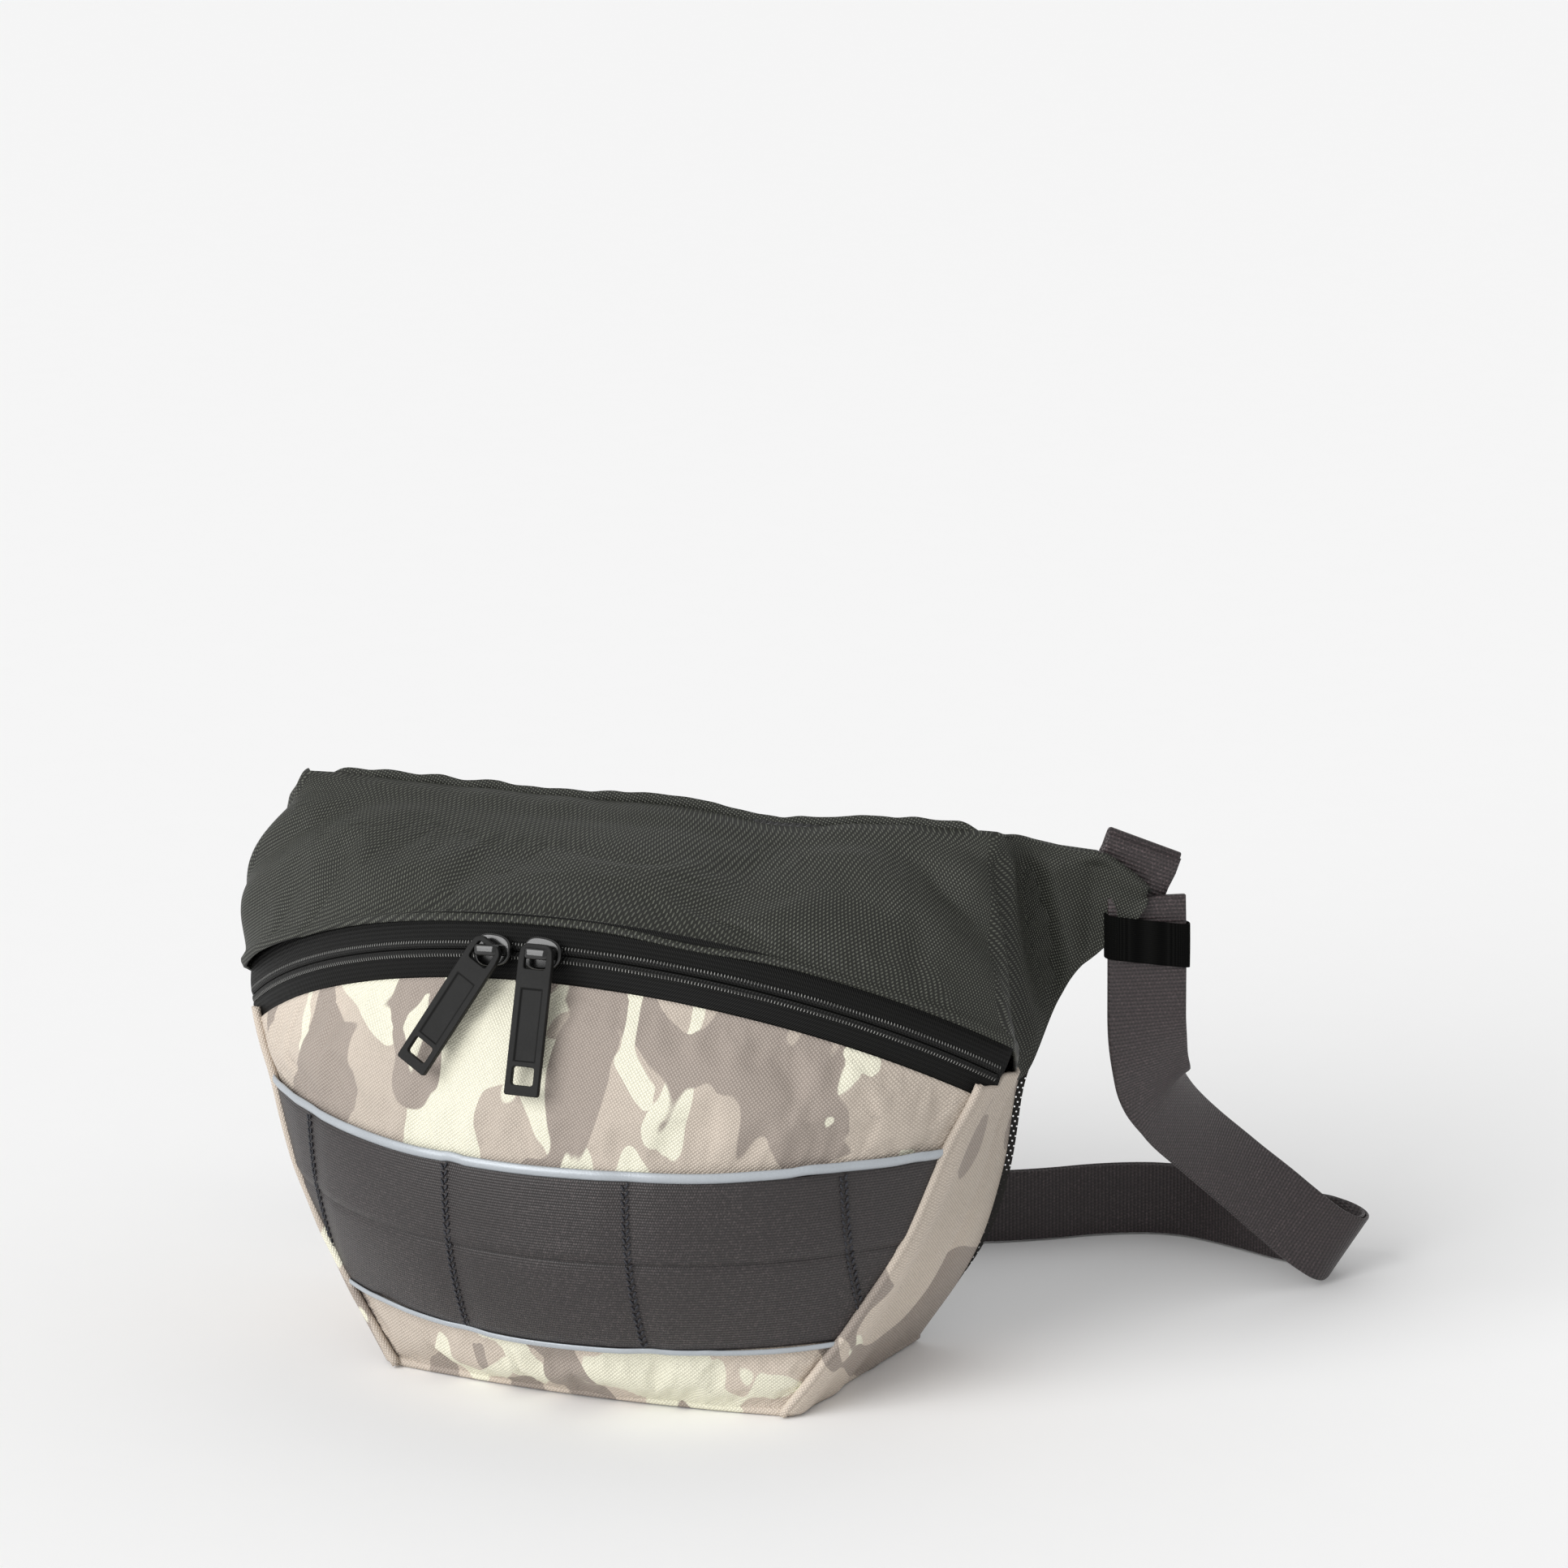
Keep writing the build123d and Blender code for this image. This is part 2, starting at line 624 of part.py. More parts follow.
for side, name in ((1, "buckle_arm_upper"), (-1, "buckle_arm_lower")):
    with BuildPart() as arm:
        with BuildSketch(Plane.XZ.offset(-buckle_y)):
            with Locations((socket_mouth - arm_length / 2 + 0.1, buckle_z + side * arm_offset)):
                RectangleRounded(arm_length, arm_width, 1.2)
        extrude(amount=buckle_thickness / 2 - buckle_wall - clearance, both=True)
    finish(arm, name)
print("buckle arm pivots", socket_mouth, buckle_y, buckle_z + arm_offset, buckle_z - arm_offset)
print("keeper middle", tuple(round(v, 2) for v in keeper_seat))
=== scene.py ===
import json
import math

import bmesh
import bpy
from mathutils import Matrix, Vector, noise


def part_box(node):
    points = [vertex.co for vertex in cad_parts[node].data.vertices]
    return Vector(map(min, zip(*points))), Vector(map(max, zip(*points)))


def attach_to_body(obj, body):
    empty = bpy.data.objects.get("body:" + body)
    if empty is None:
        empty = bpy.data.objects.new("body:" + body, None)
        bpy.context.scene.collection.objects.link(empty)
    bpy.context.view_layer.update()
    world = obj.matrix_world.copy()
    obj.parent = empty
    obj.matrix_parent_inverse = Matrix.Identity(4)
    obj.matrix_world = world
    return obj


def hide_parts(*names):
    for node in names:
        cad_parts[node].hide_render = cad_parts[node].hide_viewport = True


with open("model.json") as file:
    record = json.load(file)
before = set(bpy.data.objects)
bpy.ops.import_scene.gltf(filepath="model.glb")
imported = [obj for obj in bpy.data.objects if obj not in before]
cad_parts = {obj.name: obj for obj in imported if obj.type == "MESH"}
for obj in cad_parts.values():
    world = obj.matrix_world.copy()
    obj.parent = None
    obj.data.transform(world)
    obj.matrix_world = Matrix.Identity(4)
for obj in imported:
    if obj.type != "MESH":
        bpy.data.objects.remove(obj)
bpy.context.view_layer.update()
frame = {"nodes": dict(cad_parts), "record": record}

bl_info = {
    "name": "Waist pack",
    "version": (1, 0, 0),
    "blender": (4, 5, 0),
    "location": "3D view > sidebar > Waist pack",
    "description": "Builds a padded waist pack with a double-slider zipper and a webbing strap",
    "category": "Add Mesh",
}

MM = 0.001
JOINTS = {joint["name"]: joint for joint in frame["record"]["behaviour"]["joints"]}


# ---------------------------------------------------------------- sizes and colours

def length_property(title, text, millimetres):
    return bpy.props.FloatProperty(
        name=title, description=text, default=millimetres * MM, unit="LENGTH", precision=5)


class PackSizes(bpy.types.PropertyGroup):
    """Sizes that a maker of the pack would change."""

    fabric: length_property("Fabric thickness", "Wall of the sewn panels", 1.8)
    webbing_width: length_property("Webbing width", "Width of the waist strap", 30)
    webbing_thickness: length_property("Webbing thickness", "Thickness of one layer of webbing", 1.5)
    layer_pitch: length_property("Layer pitch", "From one layer of webbing to the next", 2.1)
    tape_half: length_property(
        "Zipper half width", "From the closing line to the panel's folded edge", 10.8)
    slack: bpy.props.FloatProperty(
        name="Fabric slack", description="Spare cloth that lets a panel pucker", default=0.03,
        subtype="FACTOR")
    stitch_pitch: length_property(
        "Stitch column pitch", "Between the stitch columns on the webbing panel", 72)


def colour_property(title, text, rgb):
    return bpy.props.FloatVectorProperty(
        name=title, description=text, default=rgb, size=3, min=0.0, max=1.0, subtype="COLOR")


class PackColours(bpy.types.PropertyGroup):
    """Colours of the pack's fabrics and plastics."""

    ground: colour_property("Ground", "Palest colour of the camouflage", (0.89, 0.865, 0.70))
    sand: colour_property("Sand", "Middle colour of the camouflage", (0.555, 0.48, 0.405))
    mauve: colour_property("Mauve", "Darkest colour of the camouflage", (0.37, 0.312, 0.27))
    hood: colour_property("Hood", "Dark ribbed fabric", (0.024, 0.025, 0.019))
    panel_webbing: colour_property("Panel webbing", "Webbing on the front", (0.024, 0.0195, 0.0195))
    strap: colour_property("Strap", "Waist strap webbing", (0.030, 0.022, 0.023))
    reflective: colour_property("Reflective tape", "Pale tape along the panel", (0.40, 0.43, 0.46))
    black: colour_property("Black", "Zipper, pulls and buckle", (0.0032, 0.0032, 0.003))
    floor: colour_property("Floor", "Studio floor and backdrop", (0.93, 0.93, 0.93))


# ---------------------------------------------------------------- shader expressions

class Port:
    """A socket that takes part in Python expressions."""

    def __init__(self, finish, socket):
        self.finish = finish
        self.socket = socket

    def maths(self, operation, *values):
        return self.finish.node("ShaderNodeMath", {"operation": operation}, *values)

    def __add__(self, other):
        return self.maths("ADD", self, other)

    __radd__ = __add__

    def __sub__(self, other):
        return self.maths("SUBTRACT", self, other)

    def __rsub__(self, other):
        return self.maths("SUBTRACT", other, self)

    def __mul__(self, other):
        return self.maths("MULTIPLY", self, other)

    __rmul__ = __mul__

    def __truediv__(self, other):
        return self.maths("DIVIDE", self, other)

    def __pow__(self, other):
        return self.maths("POWER", self, other)

    def __gt__(self, other):
        return self.maths("GREATER_THAN", self, other)

    def sine(self):
        return self.maths("SINE", self)

    def size(self):
        return self.maths("ABSOLUTE", self)

    def share(self):
        return self.maths("FRACT", self)

    def whole(self):
        return self.maths("FLOOR", self)

    def least(self, other):
        return self.maths("MINIMUM", self, other)

    def most(self, other):
        return self.maths("MAXIMUM", self, other)

    def between(self, low, high):
        """0 below low, 1 above high, smooth in between."""
        return self.finish.node(
            "ShaderNodeMapRange", {"interpolation_type": "SMOOTHSTEP"},
            Value=self, **{"From Min": low, "From Max": high})


class Finish:
    """A material being made: its nodes and the principled shader at their end."""

    def __init__(self, name, **constants):
        self.material = bpy.data.materials.new(name)
        self.material.use_nodes = True
        self.tree = self.material.node_tree
        self.tree.nodes.clear()
        self.shader = self.tree.nodes.new("ShaderNodeBsdfPrincipled")
        self.output = self.tree.nodes.new("ShaderNodeOutputMaterial")
        self.tree.links.new(self.shader.outputs[0], self.output.inputs["Surface"])
        for socket, value in constants.items():
            self.shader.inputs[socket.replace("_", " ")].default_value = value

    def node(self, kind, settings, *values, output=0, **named):
        node = self.tree.nodes.new(kind)
        for key, value in settings.items():
            setattr(node, key, value)
        for place, value in list(enumerate(values)) + list(named.items()):
            self.feed(node.inputs[place], value)
        return Port(self, node.outputs[output])

    def feed(self, socket, value):
        if isinstance(value, Port):
            self.tree.links.new(value.socket, socket)
        else:
            socket.default_value = value

    def mix(self, factor, first, second):
        """A mix of two colours; a colour mix keeps its factor, colours and result at these places."""
        node = self.tree.nodes.new("ShaderNodeMix")
        node.data_type = "RGBA"
        for place, value in ((0, factor), (6, opaque(first)), (7, opaque(second))):
            self.feed(node.inputs[place], value)
        return Port(self, node.outputs[2])

    def place(self):
        return self.node("ShaderNodeTexCoord", {}, output="Object")

    def cloth(self):
        """The piece's own cloth coordinates, in metres along and across it."""
        return self.node("ShaderNodeUVMap", {"uv_map": "cloth"})

    def weave(self):
        return self.parts(self.cloth())[:2]

    def parts(self, vector):
        node = self.tree.nodes.new("ShaderNodeSeparateXYZ")
        self.feed(node.inputs[0], vector)
        return [Port(self, output) for output in node.outputs]

    def stretched(self, vector, scale, turn=(0.0, 0.0, 0.0)):
        return self.node("ShaderNodeMapping", {}, Vector=vector, Scale=scale, Rotation=turn)

    def noise(self, vector, scale, detail=2.0, roughness=0.5, distortion=0.0):
        return self.node("ShaderNodeTexNoise", {}, Vector=vector, Scale=scale, Detail=detail,
                         Roughness=roughness, Distortion=distortion)

    def grain(self, scale, detail):
        """Fine unevenness all through the piece."""
        return self.noise(self.place(), scale, detail)

    def tones(self, factor, colour, dark, light):
        """Colour the piece between a darker and a lighter tone of one colour."""
        self.set("Base Color", self.mix(factor, shade(colour, dark), shade(colour, light)))

    def bump(self, height, distance, strength=1.0):
        normal = self.node("ShaderNodeBump", {}, Strength=strength, Distance=distance, Height=height)
        self.feed(self.shader.inputs["Normal"], normal)

    def set(self, socket, value):
        self.feed(self.shader.inputs[socket], value)


def opaque(colour):
    return colour if isinstance(colour, Port) else (*tuple(colour)[:3], 1.0)


def shade(colour, factor):
    return tuple(min(1.0, channel * factor) for channel in colour)


def ribs(finish, coordinate, pitch):
    """Rounded ribs, 0 to 1, at a pitch along a coordinate in metres."""
    return (coordinate * (math.tau / pitch)).sine() * 0.5 + 0.5


def plain_weave(finish, along, across, pitch):
    """Over-and-under weave of two sets of threads."""
    warp = (along * (math.pi / pitch)).sine()
    weft = (across * (math.pi / pitch)).sine()
    return (warp * weft).size()


FINISHES = {}


def finish_named(name):
    if name not in FINISHES:
        FINISHES[name] = FINISH_MAKERS[name]()
    return FINISHES[name]


def colours():
    return bpy.context.scene.pack_colours


def sizes():
    return bpy.context.scene.pack_sizes


def patch(finish, across, up, width, height):
    """1 in the middle of an oval patch and 0 outside it."""
    spread = (across / width) * (across / width) + (up / height) * (up / height)
    return 1 - spread.between(0.0, 1.6)


def camouflage_fabric():
    tones = colours()
    finish = Finish("camouflage_fabric", Roughness=0.62, Specular_IOR_Level=0.3)
    place = finish.place()
    broad = finish.stretched(place, (1.0, 0.8, 0.62), (0.0, 0.35, 0.0))
    sand_field = finish.noise(broad, 27.0, 1.4, 0.45, 0.55)
    other = finish.node("ShaderNodeVectorMath", {"operation": "ADD"}, broad, (0.37, 0.11, 0.53))
    mauve_field = finish.noise(other, 24.0, 1.6, 0.45, 0.75)
    third = finish.node("ShaderNodeVectorMath", {"operation": "ADD"}, broad, (0.91, 0.67, 0.29))
    pale_field = finish.noise(third, 33.0, 1.2, 0.4, 0.6)
    x, y, z = finish.parts(place)
    sides = (x.size() - 0.075).most(0.0) * 2.2 + (y + 0.035).most(0.0) * 2.0
    centre = patch(finish, x + 0.035, z - 0.155, 0.055, 0.03) * 0.10
    lobe = (patch(finish, x - 0.028, z - 0.140, 0.024, 0.040)
            + patch(finish, x + 0.05, z - 0.150, 0.014, 0.035))
    low = (0.035 - z).most(0.0)
    low_stripes = low * ((x * 190 + z * 40).sine() * 5.0 + 1.5)
    sand = (sand_field + sides + low * 1.6 - centre).between(0.462, 0.470)
    gusset_stripes = (y + 0.028).most(0.0).least(0.03) * ((z * 62 + x * 9).sine() * 2.6 + 0.6)
    mauve = (mauve_field + lobe * 0.16 + low_stripes + gusset_stripes - centre * 0.5).between(0.590, 0.598)
    pale = (pale_field - sides - low).between(0.595, 0.603)
    cloudy = finish.noise(place, 9.0, 2.0)
    sand_tone = finish.mix(cloudy.between(0.35, 0.7), tones.sand, shade(tones.sand, 1.28))
    colour = finish.mix(sand, tones.ground, sand_tone)
    colour = finish.mix(mauve, colour, tones.mauve)
    colour = finish.mix(pale, colour, tones.ground)
    along, across = finish.weave()
    slant = along + across * 0.75
    counter = across - along * 0.75
    threads = plain_weave(finish, slant, counter, 1.35 * MM)
    speck = finish.noise(place, 900.0, 1.0)
    tone = threads * 0.34 + speck * 0.24
    colour = finish.mix((0.36 - tone).most(0.0), colour, (0.05, 0.04, 0.035))
    lighter = finish.mix(threads * 0.10, colour, (0.95, 0.92, 0.85))
    finish.set("Base Color", lighter)
    finish.set("Roughness", threads * -0.16 + 0.68)
    finish.bump(threads + speck * 0.4, 0.35 * MM, 0.75)
    return finish.material


def dark_fabric():
    tones = colours()
    finish = Finish("dark_fabric", Roughness=0.58, Specular_IOR_Level=0.35, Sheen_Weight=0.03,
                    Sheen_Roughness=0.35)
    along, across = finish.weave()
    threads = plain_weave(finish, along + across * 0.45, across - along * 0.45, 1.3 * MM)
    speck = finish.grain(1300.0, 1.0)
    cloudy = finish.grain(14.0, 2.0)
    ground = finish.mix(cloudy, shade(tones.hood, 0.85), shade(tones.hood, 1.2))
    colour = finish.mix(threads * 0.75 + speck * 0.2, shade(tones.hood, 0.35), ground)
    # Painted highlight: pale glints on the tops of the threads.
    colour = finish.mix((threads > 0.70) * speck * 0.8, colour, (0.20, 0.21, 0.17))
    finish.set("Base Color", colour)
    finish.set("Roughness", threads * -0.2 + 0.62)
    finish.bump(threads + speck * 0.3, 0.3 * MM, 0.8)
    return finish.material


def webbing(name, tone, rib_pitch, rib_axis, sheen):
    finish = Finish(name, Roughness=0.5, Specular_IOR_Level=0.5, Sheen_Weight=sheen,
                    Sheen_Roughness=0.3)
    along, across = finish.weave()
    first, second = (across, along) if rib_axis == "along" else (along, across)
    rows = ribs(finish, first, rib_pitch)
    cross = ribs(finish, second + (first / rib_pitch).whole() * (rib_pitch * 0.5), rib_pitch * 0.9)
    relief = rows * 0.65 + cross * 0.35
    speck = finish.grain(1100.0, 1.0)
    # Broad patches where the painted sheen on the webbing is stronger.
    broad = finish.grain(11.0, 1.5).between(0.30, 0.72)
    colour = finish.mix(relief, shade(tone, 0.36), shade(tone, 1.45))
    # Painted highlight: pale flecks on the tops of the ribs, strongest in the broad patches.
    colour = finish.mix(relief * speck.between(0.45, 0.72) * (broad * 0.6 + 0.25), colour, shade(tone, 4.4))
    finish.set("Base Color", colour)
    finish.set("Roughness", relief * -0.16 + 0.54)
    finish.bump(relief + speck * 0.15, 0.28 * MM, 0.8)
    return finish.material


def panel_webbing():
    return webbing("panel_webbing", colours().panel_webbing, 1.15 * MM, "along", 0.03)


def strap_webbing():
    return webbing("strap_webbing", colours().strap, 1.5 * MM, "across", 0.02)


def reflective_tape():
    tones = colours()
    finish = Finish("reflective_tape", Roughness=0.42, Metallic=0.25)
    grain = finish.grain(1500.0, 2.0)
    cloudy = finish.grain(60.0, 2.0)
    tape = tones.reflective
    finish.tones(grain * 0.5 + cloudy * 0.4, tape, 0.82, 1.25)
    finish.set("Roughness", cloudy * 0.25 + 0.3)
    finish.bump(grain + cloudy, 0.2 * MM, 0.5)
    return finish.material


def zipper_tape():
    black = colours().black
    finish = Finish("zipper_tape", Roughness=0.85, Specular_IOR_Level=0.15)
    along, across = finish.weave()
    twill = ribs(finish, along + across.size() * 0.8, 0.9 * MM)
    rows = ribs(finish, across, 1.5 * MM)
    relief = twill * 0.6 + rows * 0.4
    finish.tones(relief, black, 0.5, 2.6)
    finish.set("Roughness", relief * -0.2 + 0.65)
    finish.bump(relief, 0.3 * MM, 0.9)
    return finish.material


def zipper_coil():
    black = colours().black
    finish = Finish("zipper_coil", Roughness=0.6, Specular_IOR_Level=0.2)
    along, across = finish.weave()
    knit = ribs(finish, along + across.size() * 0.5, 1.3 * MM)
    stitch = ribs(finish, across, 1.25 * MM)
    relief = knit * 0.6 + stitch * 0.4
    # Painted highlight: a row of pale glints on the stitching beside the closing line.
    glint = (along * (math.tau / (1.25 * MM))).sine().between(0.72, 0.98)
    seam = 1 - ((across.size() - 2.9 * MM).size()).between(0.4 * MM, 0.8 * MM)
    plain = finish.mix(relief, shade(black, 0.4), shade(black, 4.0))
    finish.set("Base Color", finish.mix(glint * seam * 0.9, plain, (0.42, 0.42, 0.40)))
    finish.set("Roughness", relief * -0.15 + 0.6)
    finish.bump(relief, 0.45 * MM, 1.0)
    return finish.material


def from_hole(along, across, pitch, squeeze):
    """Distance from the nearest hole of a mesh with staggered rows, as a share of its pitch."""
    rows = across / (pitch * squeeze)
    column = (along / pitch + rows.whole() * 0.5).share() - 0.5
    level = rows.share() - 0.5
    return (column * column + level * level) ** 0.5


def spacer_mesh():
    black = colours().black
    finish = Finish("spacer_mesh", Roughness=0.7, Sheen_Weight=0.2)
    along, across = finish.weave()
    hole = 1 - from_hole(along, across, 3.0 * MM, 0.87).between(0.24, 0.33)
    # Painted shade: the recessed holes are coloured much darker than the threads round them.
    finish.tones(hole, black, 2.2, 0.25)
    finish.bump(1 - hole, 0.8 * MM, 1.0)
    return finish.material


def open_mesh():
    """The single layer of mesh that stands out as a flange; light shows through its holes."""
    black = colours().black
    finish = Finish("open_mesh", Roughness=0.7)
    along, across = finish.weave()
    spread = from_hole(along, across, 2.6 * MM, 0.8)
    finish.tones(spread, black, 1.5, 3.0)
    finish.set("Alpha", spread.between(0.15, 0.19))
    return finish.material


def thread():
    finish = Finish("thread", Roughness=0.55)
    twist = ribs(finish, finish.parts(finish.place())[2], 0.5 * MM)
    finish.set("Base Color", finish.mix(twist, (0.008, 0.008, 0.011), (0.040, 0.042, 0.055)))
    finish.bump(twist, 0.1 * MM)
    return finish.material


def slider_enamel():
    black = colours().black
    finish = Finish("slider_enamel", Roughness=0.22, Metallic=0.2, Coat_Weight=0.6, Coat_Roughness=0.12)
    wear = finish.grain(260.0, 4.0)
    finish.tones(wear.between(0.45, 0.8), black, 0.9, 3.0)
    finish.set("Roughness", wear * 0.22 + 0.14)
    finish.bump(wear, 0.03 * MM, 0.4)
    return finish.material


def pull_plastic():
    black = colours().black
    finish = Finish("pull_plastic", Roughness=0.5, Specular_IOR_Level=0.22)
    grain = finish.grain(1600.0, 3.0)
    cloudy = finish.grain(120.0, 2.0)
    finish.tones(cloudy, black, 0.9, 2.2)
    finish.set("Roughness", grain * 0.12 + cloudy * 0.12 + 0.44)
    finish.bump(grain, 0.04 * MM, 0.6)
    return finish.material


def elastic():
    black = colours().black
    finish = Finish("elastic", Roughness=0.9, Specular_IOR_Level=0.05)
    along, across = finish.weave()
    relief = ribs(finish, along, 1.1 * MM) * 0.7 + ribs(finish, across, 0.8 * MM) * 0.3
    finish.tones(relief, black, 0.4, 1.8)
    finish.bump(relief, 0.3 * MM, 0.9)
    return finish.material


def buckle_plastic():
    black = colours().black
    finish = Finish("buckle_plastic", Roughness=0.45)
    grain = finish.grain(1400.0, 3.0)
    cloudy = finish.grain(90.0, 2.0)
    finish.tones(cloudy, black, 1.4, 3.2)
    finish.set("Roughness", grain * 0.15 + 0.38)
    finish.bump(grain, 0.06 * MM, 0.7)
    return finish.material


def studio_paper():
    finish = Finish("studio_paper", Roughness=0.85)
    grain = finish.grain(40.0, 2.0)
    tone = colours().floor
    finish.set("Base Color", finish.mix(grain, tone, shade(tone, 1.01)))
    return finish.material


FINISH_MAKERS = {maker.__name__: maker for maker in (
    camouflage_fabric, dark_fabric, panel_webbing, strap_webbing, reflective_tape, zipper_tape,
    zipper_coil, spacer_mesh, open_mesh, thread, slider_enamel, pull_plastic, elastic,
    buckle_plastic, studio_paper)}


# ---------------------------------------------------------------- the pouch's form

def pouch_levels():
    """Level sections: height, side, side depth, front depth, back side, back depth."""
    front_low, front_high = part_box("front_panel")
    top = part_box("top_panel")[1].z
    wide = front_high.x
    base = 82 * MM
    spread = wide - base
    front = -45 * MM
    back = 45 * MM
    bulge = front - front_low.y
    end = 133 * MM
    high = (top - end) / 81
    # Height, then the side's x and y, the front's y, and the back corner's x and y.
    rows = [
        (0.0, base, front, front - 5 * MM, base + 18 * MM, back),
        (36 * MM, base + 0.34 * spread, front + 8 * MM, front - 0.71 * bulge,
         wide - 31 * MM, back + 7 * MM),
        (72 * MM, base + 0.64 * spread, front + 17 * MM, front - 0.98 * bulge,
         wide - 19 * MM, back + 7 * MM),
        (108 * MM, base + 0.84 * spread, front + 26 * MM, front - bulge,
         wide - 12 * MM, back + 3 * MM),
        (end, wide, front + 34 * MM, front - 0.85 * bulge, wide - 4 * MM, back - 1 * MM)]
    # The hood's levels: height above the last in 81 parts, then how far each size is drawn in or back.
    for part, side, side_back, swell, corner, corner_back in (
            (17, 1, 37, 0.73, 3, 4), (33, 3, 42, 0.65, 4, 7), (49, 6, 49, 0.52, 6, 11)):
        rows.append((end + part * high, wide - side * MM, front + side_back * MM,
                     front - swell * bulge, wide - corner * MM, back - corner_back * MM))
    for part, side, side_back, front_back, corner_back in ((67, 8, 56, 7, 15), (81, 10, 63, 51, 18)):
        rows.append((end + part * high, wide - side * MM, front + side_back * MM,
                     front + front_back * MM, wide - side * MM, back - corner_back * MM))
    return rows


LEVELS = pouch_levels()
TOP = LEVELS[-1][0]
ZIPPER_CENTRE = Vector(JOINTS["slider_right_travel"]["pos_m"])
ZIPPER_AXIS = Vector(JOINTS["slider_right_travel"]["axis"]).normalized()


def level_at(z):
    """The section's sizes at a height, smooth through the levels."""
    z = min(max(z, LEVELS[0][0]), TOP)
    span = max(i for i in range(len(LEVELS) - 1) if LEVELS[i][0] <= z)
    low, high = LEVELS[span], LEVELS[span + 1]
    before = LEVELS[max(span - 1, 0)]
    after = LEVELS[min(span + 2, len(LEVELS) - 1)]
    width = high[0] - low[0]
    t = (z - low[0]) / width
    values = []
    for k in range(1, 6):
        start = (high[k] - before[k]) / (high[0] - before[0]) * width
        end = (after[k] - low[k]) / (after[0] - low[0]) * width
        values.append((2 * t ** 3 - 3 * t ** 2 + 1) * low[k] + (t ** 3 - 2 * t ** 2 + t) * start
                      + (3 * t ** 2 - 2 * t ** 3) * high[k] + (t ** 3 - t ** 2) * end)
    return values


SIDE = 0.5      # share of the girth coordinate that each gusset takes
ZIPPER_RADIUS = 189.78 * MM
ZIPPER_END = math.radians(53.73)
PANEL_LEAN = math.radians(23.0)
ZIPPER_UP = Vector((0, -ZIPPER_AXIS.z, ZIPPER_AXIS.y))


def around(girth, z):
    """Point on the pouch: girth -1 to 1 crosses the front, beyond that the gussets."""
    side, side_y, front_y, back_side, back_y = level_at(z)
    rise = side_y - front_y
    radius = (side ** 2 + rise ** 2) / (2 * rise)
    reach = math.atan2(side, radius - rise)
    if abs(girth) <= 1:
        angle = girth * reach
        return Vector((radius * math.sin(angle), front_y + radius * (1 - math.cos(angle)), z))
    share = min((abs(girth) - 1) / SIDE, 1.0)
    hand = math.copysign(1, girth)
    swell = 3.0 * MM * math.sin(math.pi * share) * min(z / (40 * MM), 1.0)
    x = hand * (side + (back_side - side) * share + swell)
    return Vector((x, side_y + (back_y - side_y) * share, z))


def outward(girth, z):
    """Unit normal of the pouch, pointing out of it."""
    step = 0.01
    near = 1.0 * MM
    a = around(min(girth + step, 1 + SIDE), z) - around(max(girth - step, -1 - SIDE), z)
    b = around(girth, min(z + near, TOP)) - around(girth, max(z - near, 0))
    normal = a.cross(b)
    return normal.normalized()


def zipper_distance(point):
    return (point - ZIPPER_CENTRE).dot(ZIPPER_AXIS)


def ripple(x, y, z):
    """Smooth unevenness between about -1 and 1."""
    return noise.noise(Vector((x, y, z)))


def bell(value, middle, width):
    """1 at the middle, falling smoothly to 0 a few widths away."""
    return math.exp(-((value - middle) / width) ** 2)


def soft(t):
    t = min(max(t, 0.0), 1.0)
    return t * t * (3 - 2 * t)


def drape(point):
    """Let the hood's top edge sag slowly, most towards the right."""
    lift = soft((point.z - 170 * MM) / (40 * MM))
    dip = bell(point.x, 58 * MM, 26 * MM) * 4.5 * MM
    dip += bell(point.x, -30 * MM, 60 * MM) * MM
    point.z -= dip * lift
    return point


# ---------------------------------------------------------------- meshes

def stand_up(piece):
    """Keep a piece's cloth above the floor it stands on."""
    if piece.name != "floor":
        for vertex in piece.data.vertices:
            vertex.co.z = max(vertex.co.z, 0.3 * MM)


def new_piece(name, bm, finish, smooth=True):
    mesh = bpy.data.meshes.new(name)
    bm.to_mesh(mesh)
    bm.free()
    piece = bpy.data.objects.new(name, mesh)
    bpy.context.scene.collection.objects.link(piece)
    stand_up(piece)
    piece.data.materials.append(finish_named(finish))
    for face in piece.data.polygons:
        face.use_smooth = smooth
    return piece


def attach(piece, node=None, body="pouch"):
    """Put a piece on its body, and in place of its plain shape."""
    if node is not None:
        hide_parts(node)
    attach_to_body(piece, body)


def laid_grid(columns, rows, place, lengths, facing=None, rounded=None, rounds=12, relief=None):
    """A grid laid onto a surface: place(u, v) gives the point, lengths its cloth size in metres."""
    bm = bmesh.new()
    bmesh.ops.create_grid(bm, x_segments=columns, y_segments=rows, size=0.5)
    layer = bm.loops.layers.uv.new("cloth")
    spots = {vertex: (vertex.co.x + 0.5, vertex.co.y + 0.5) for vertex in bm.verts}
    for vertex, (u, v) in spots.items():
        vertex.co = place(u, v)
    for face in bm.faces:
        for loop in face.loops:
            u, v = spots[loop.vert]
            flat = lengths(loop.vert.co) if callable(lengths) else (u * lengths[0], v * lengths[1])
            loop[layer].uv = flat
    if rounded is not None:
        chosen = [vertex for vertex, (u, v) in spots.items() if rounded(u, v)]
        for _ in range(rounds):
            bmesh.ops.smooth_vert(
                bm, verts=chosen, factor=0.5, use_axis_x=True, use_axis_y=True, use_axis_z=True)
    bm.normal_update()
    if facing is not None:
        lean = sum((face.normal.dot(facing(face.calc_center_median())) for face in bm.faces), 0.0)
        if lean < 0:
            bmesh.ops.reverse_faces(bm, faces=bm.faces[:])
    if relief is not None:
        bm.normal_update()
        heights = {vertex: vertex.normal * relief(u, v, vertex.co) for vertex, (u, v) in spots.items()}
        for vertex, step in heights.items():
            vertex.co += step
    return bm


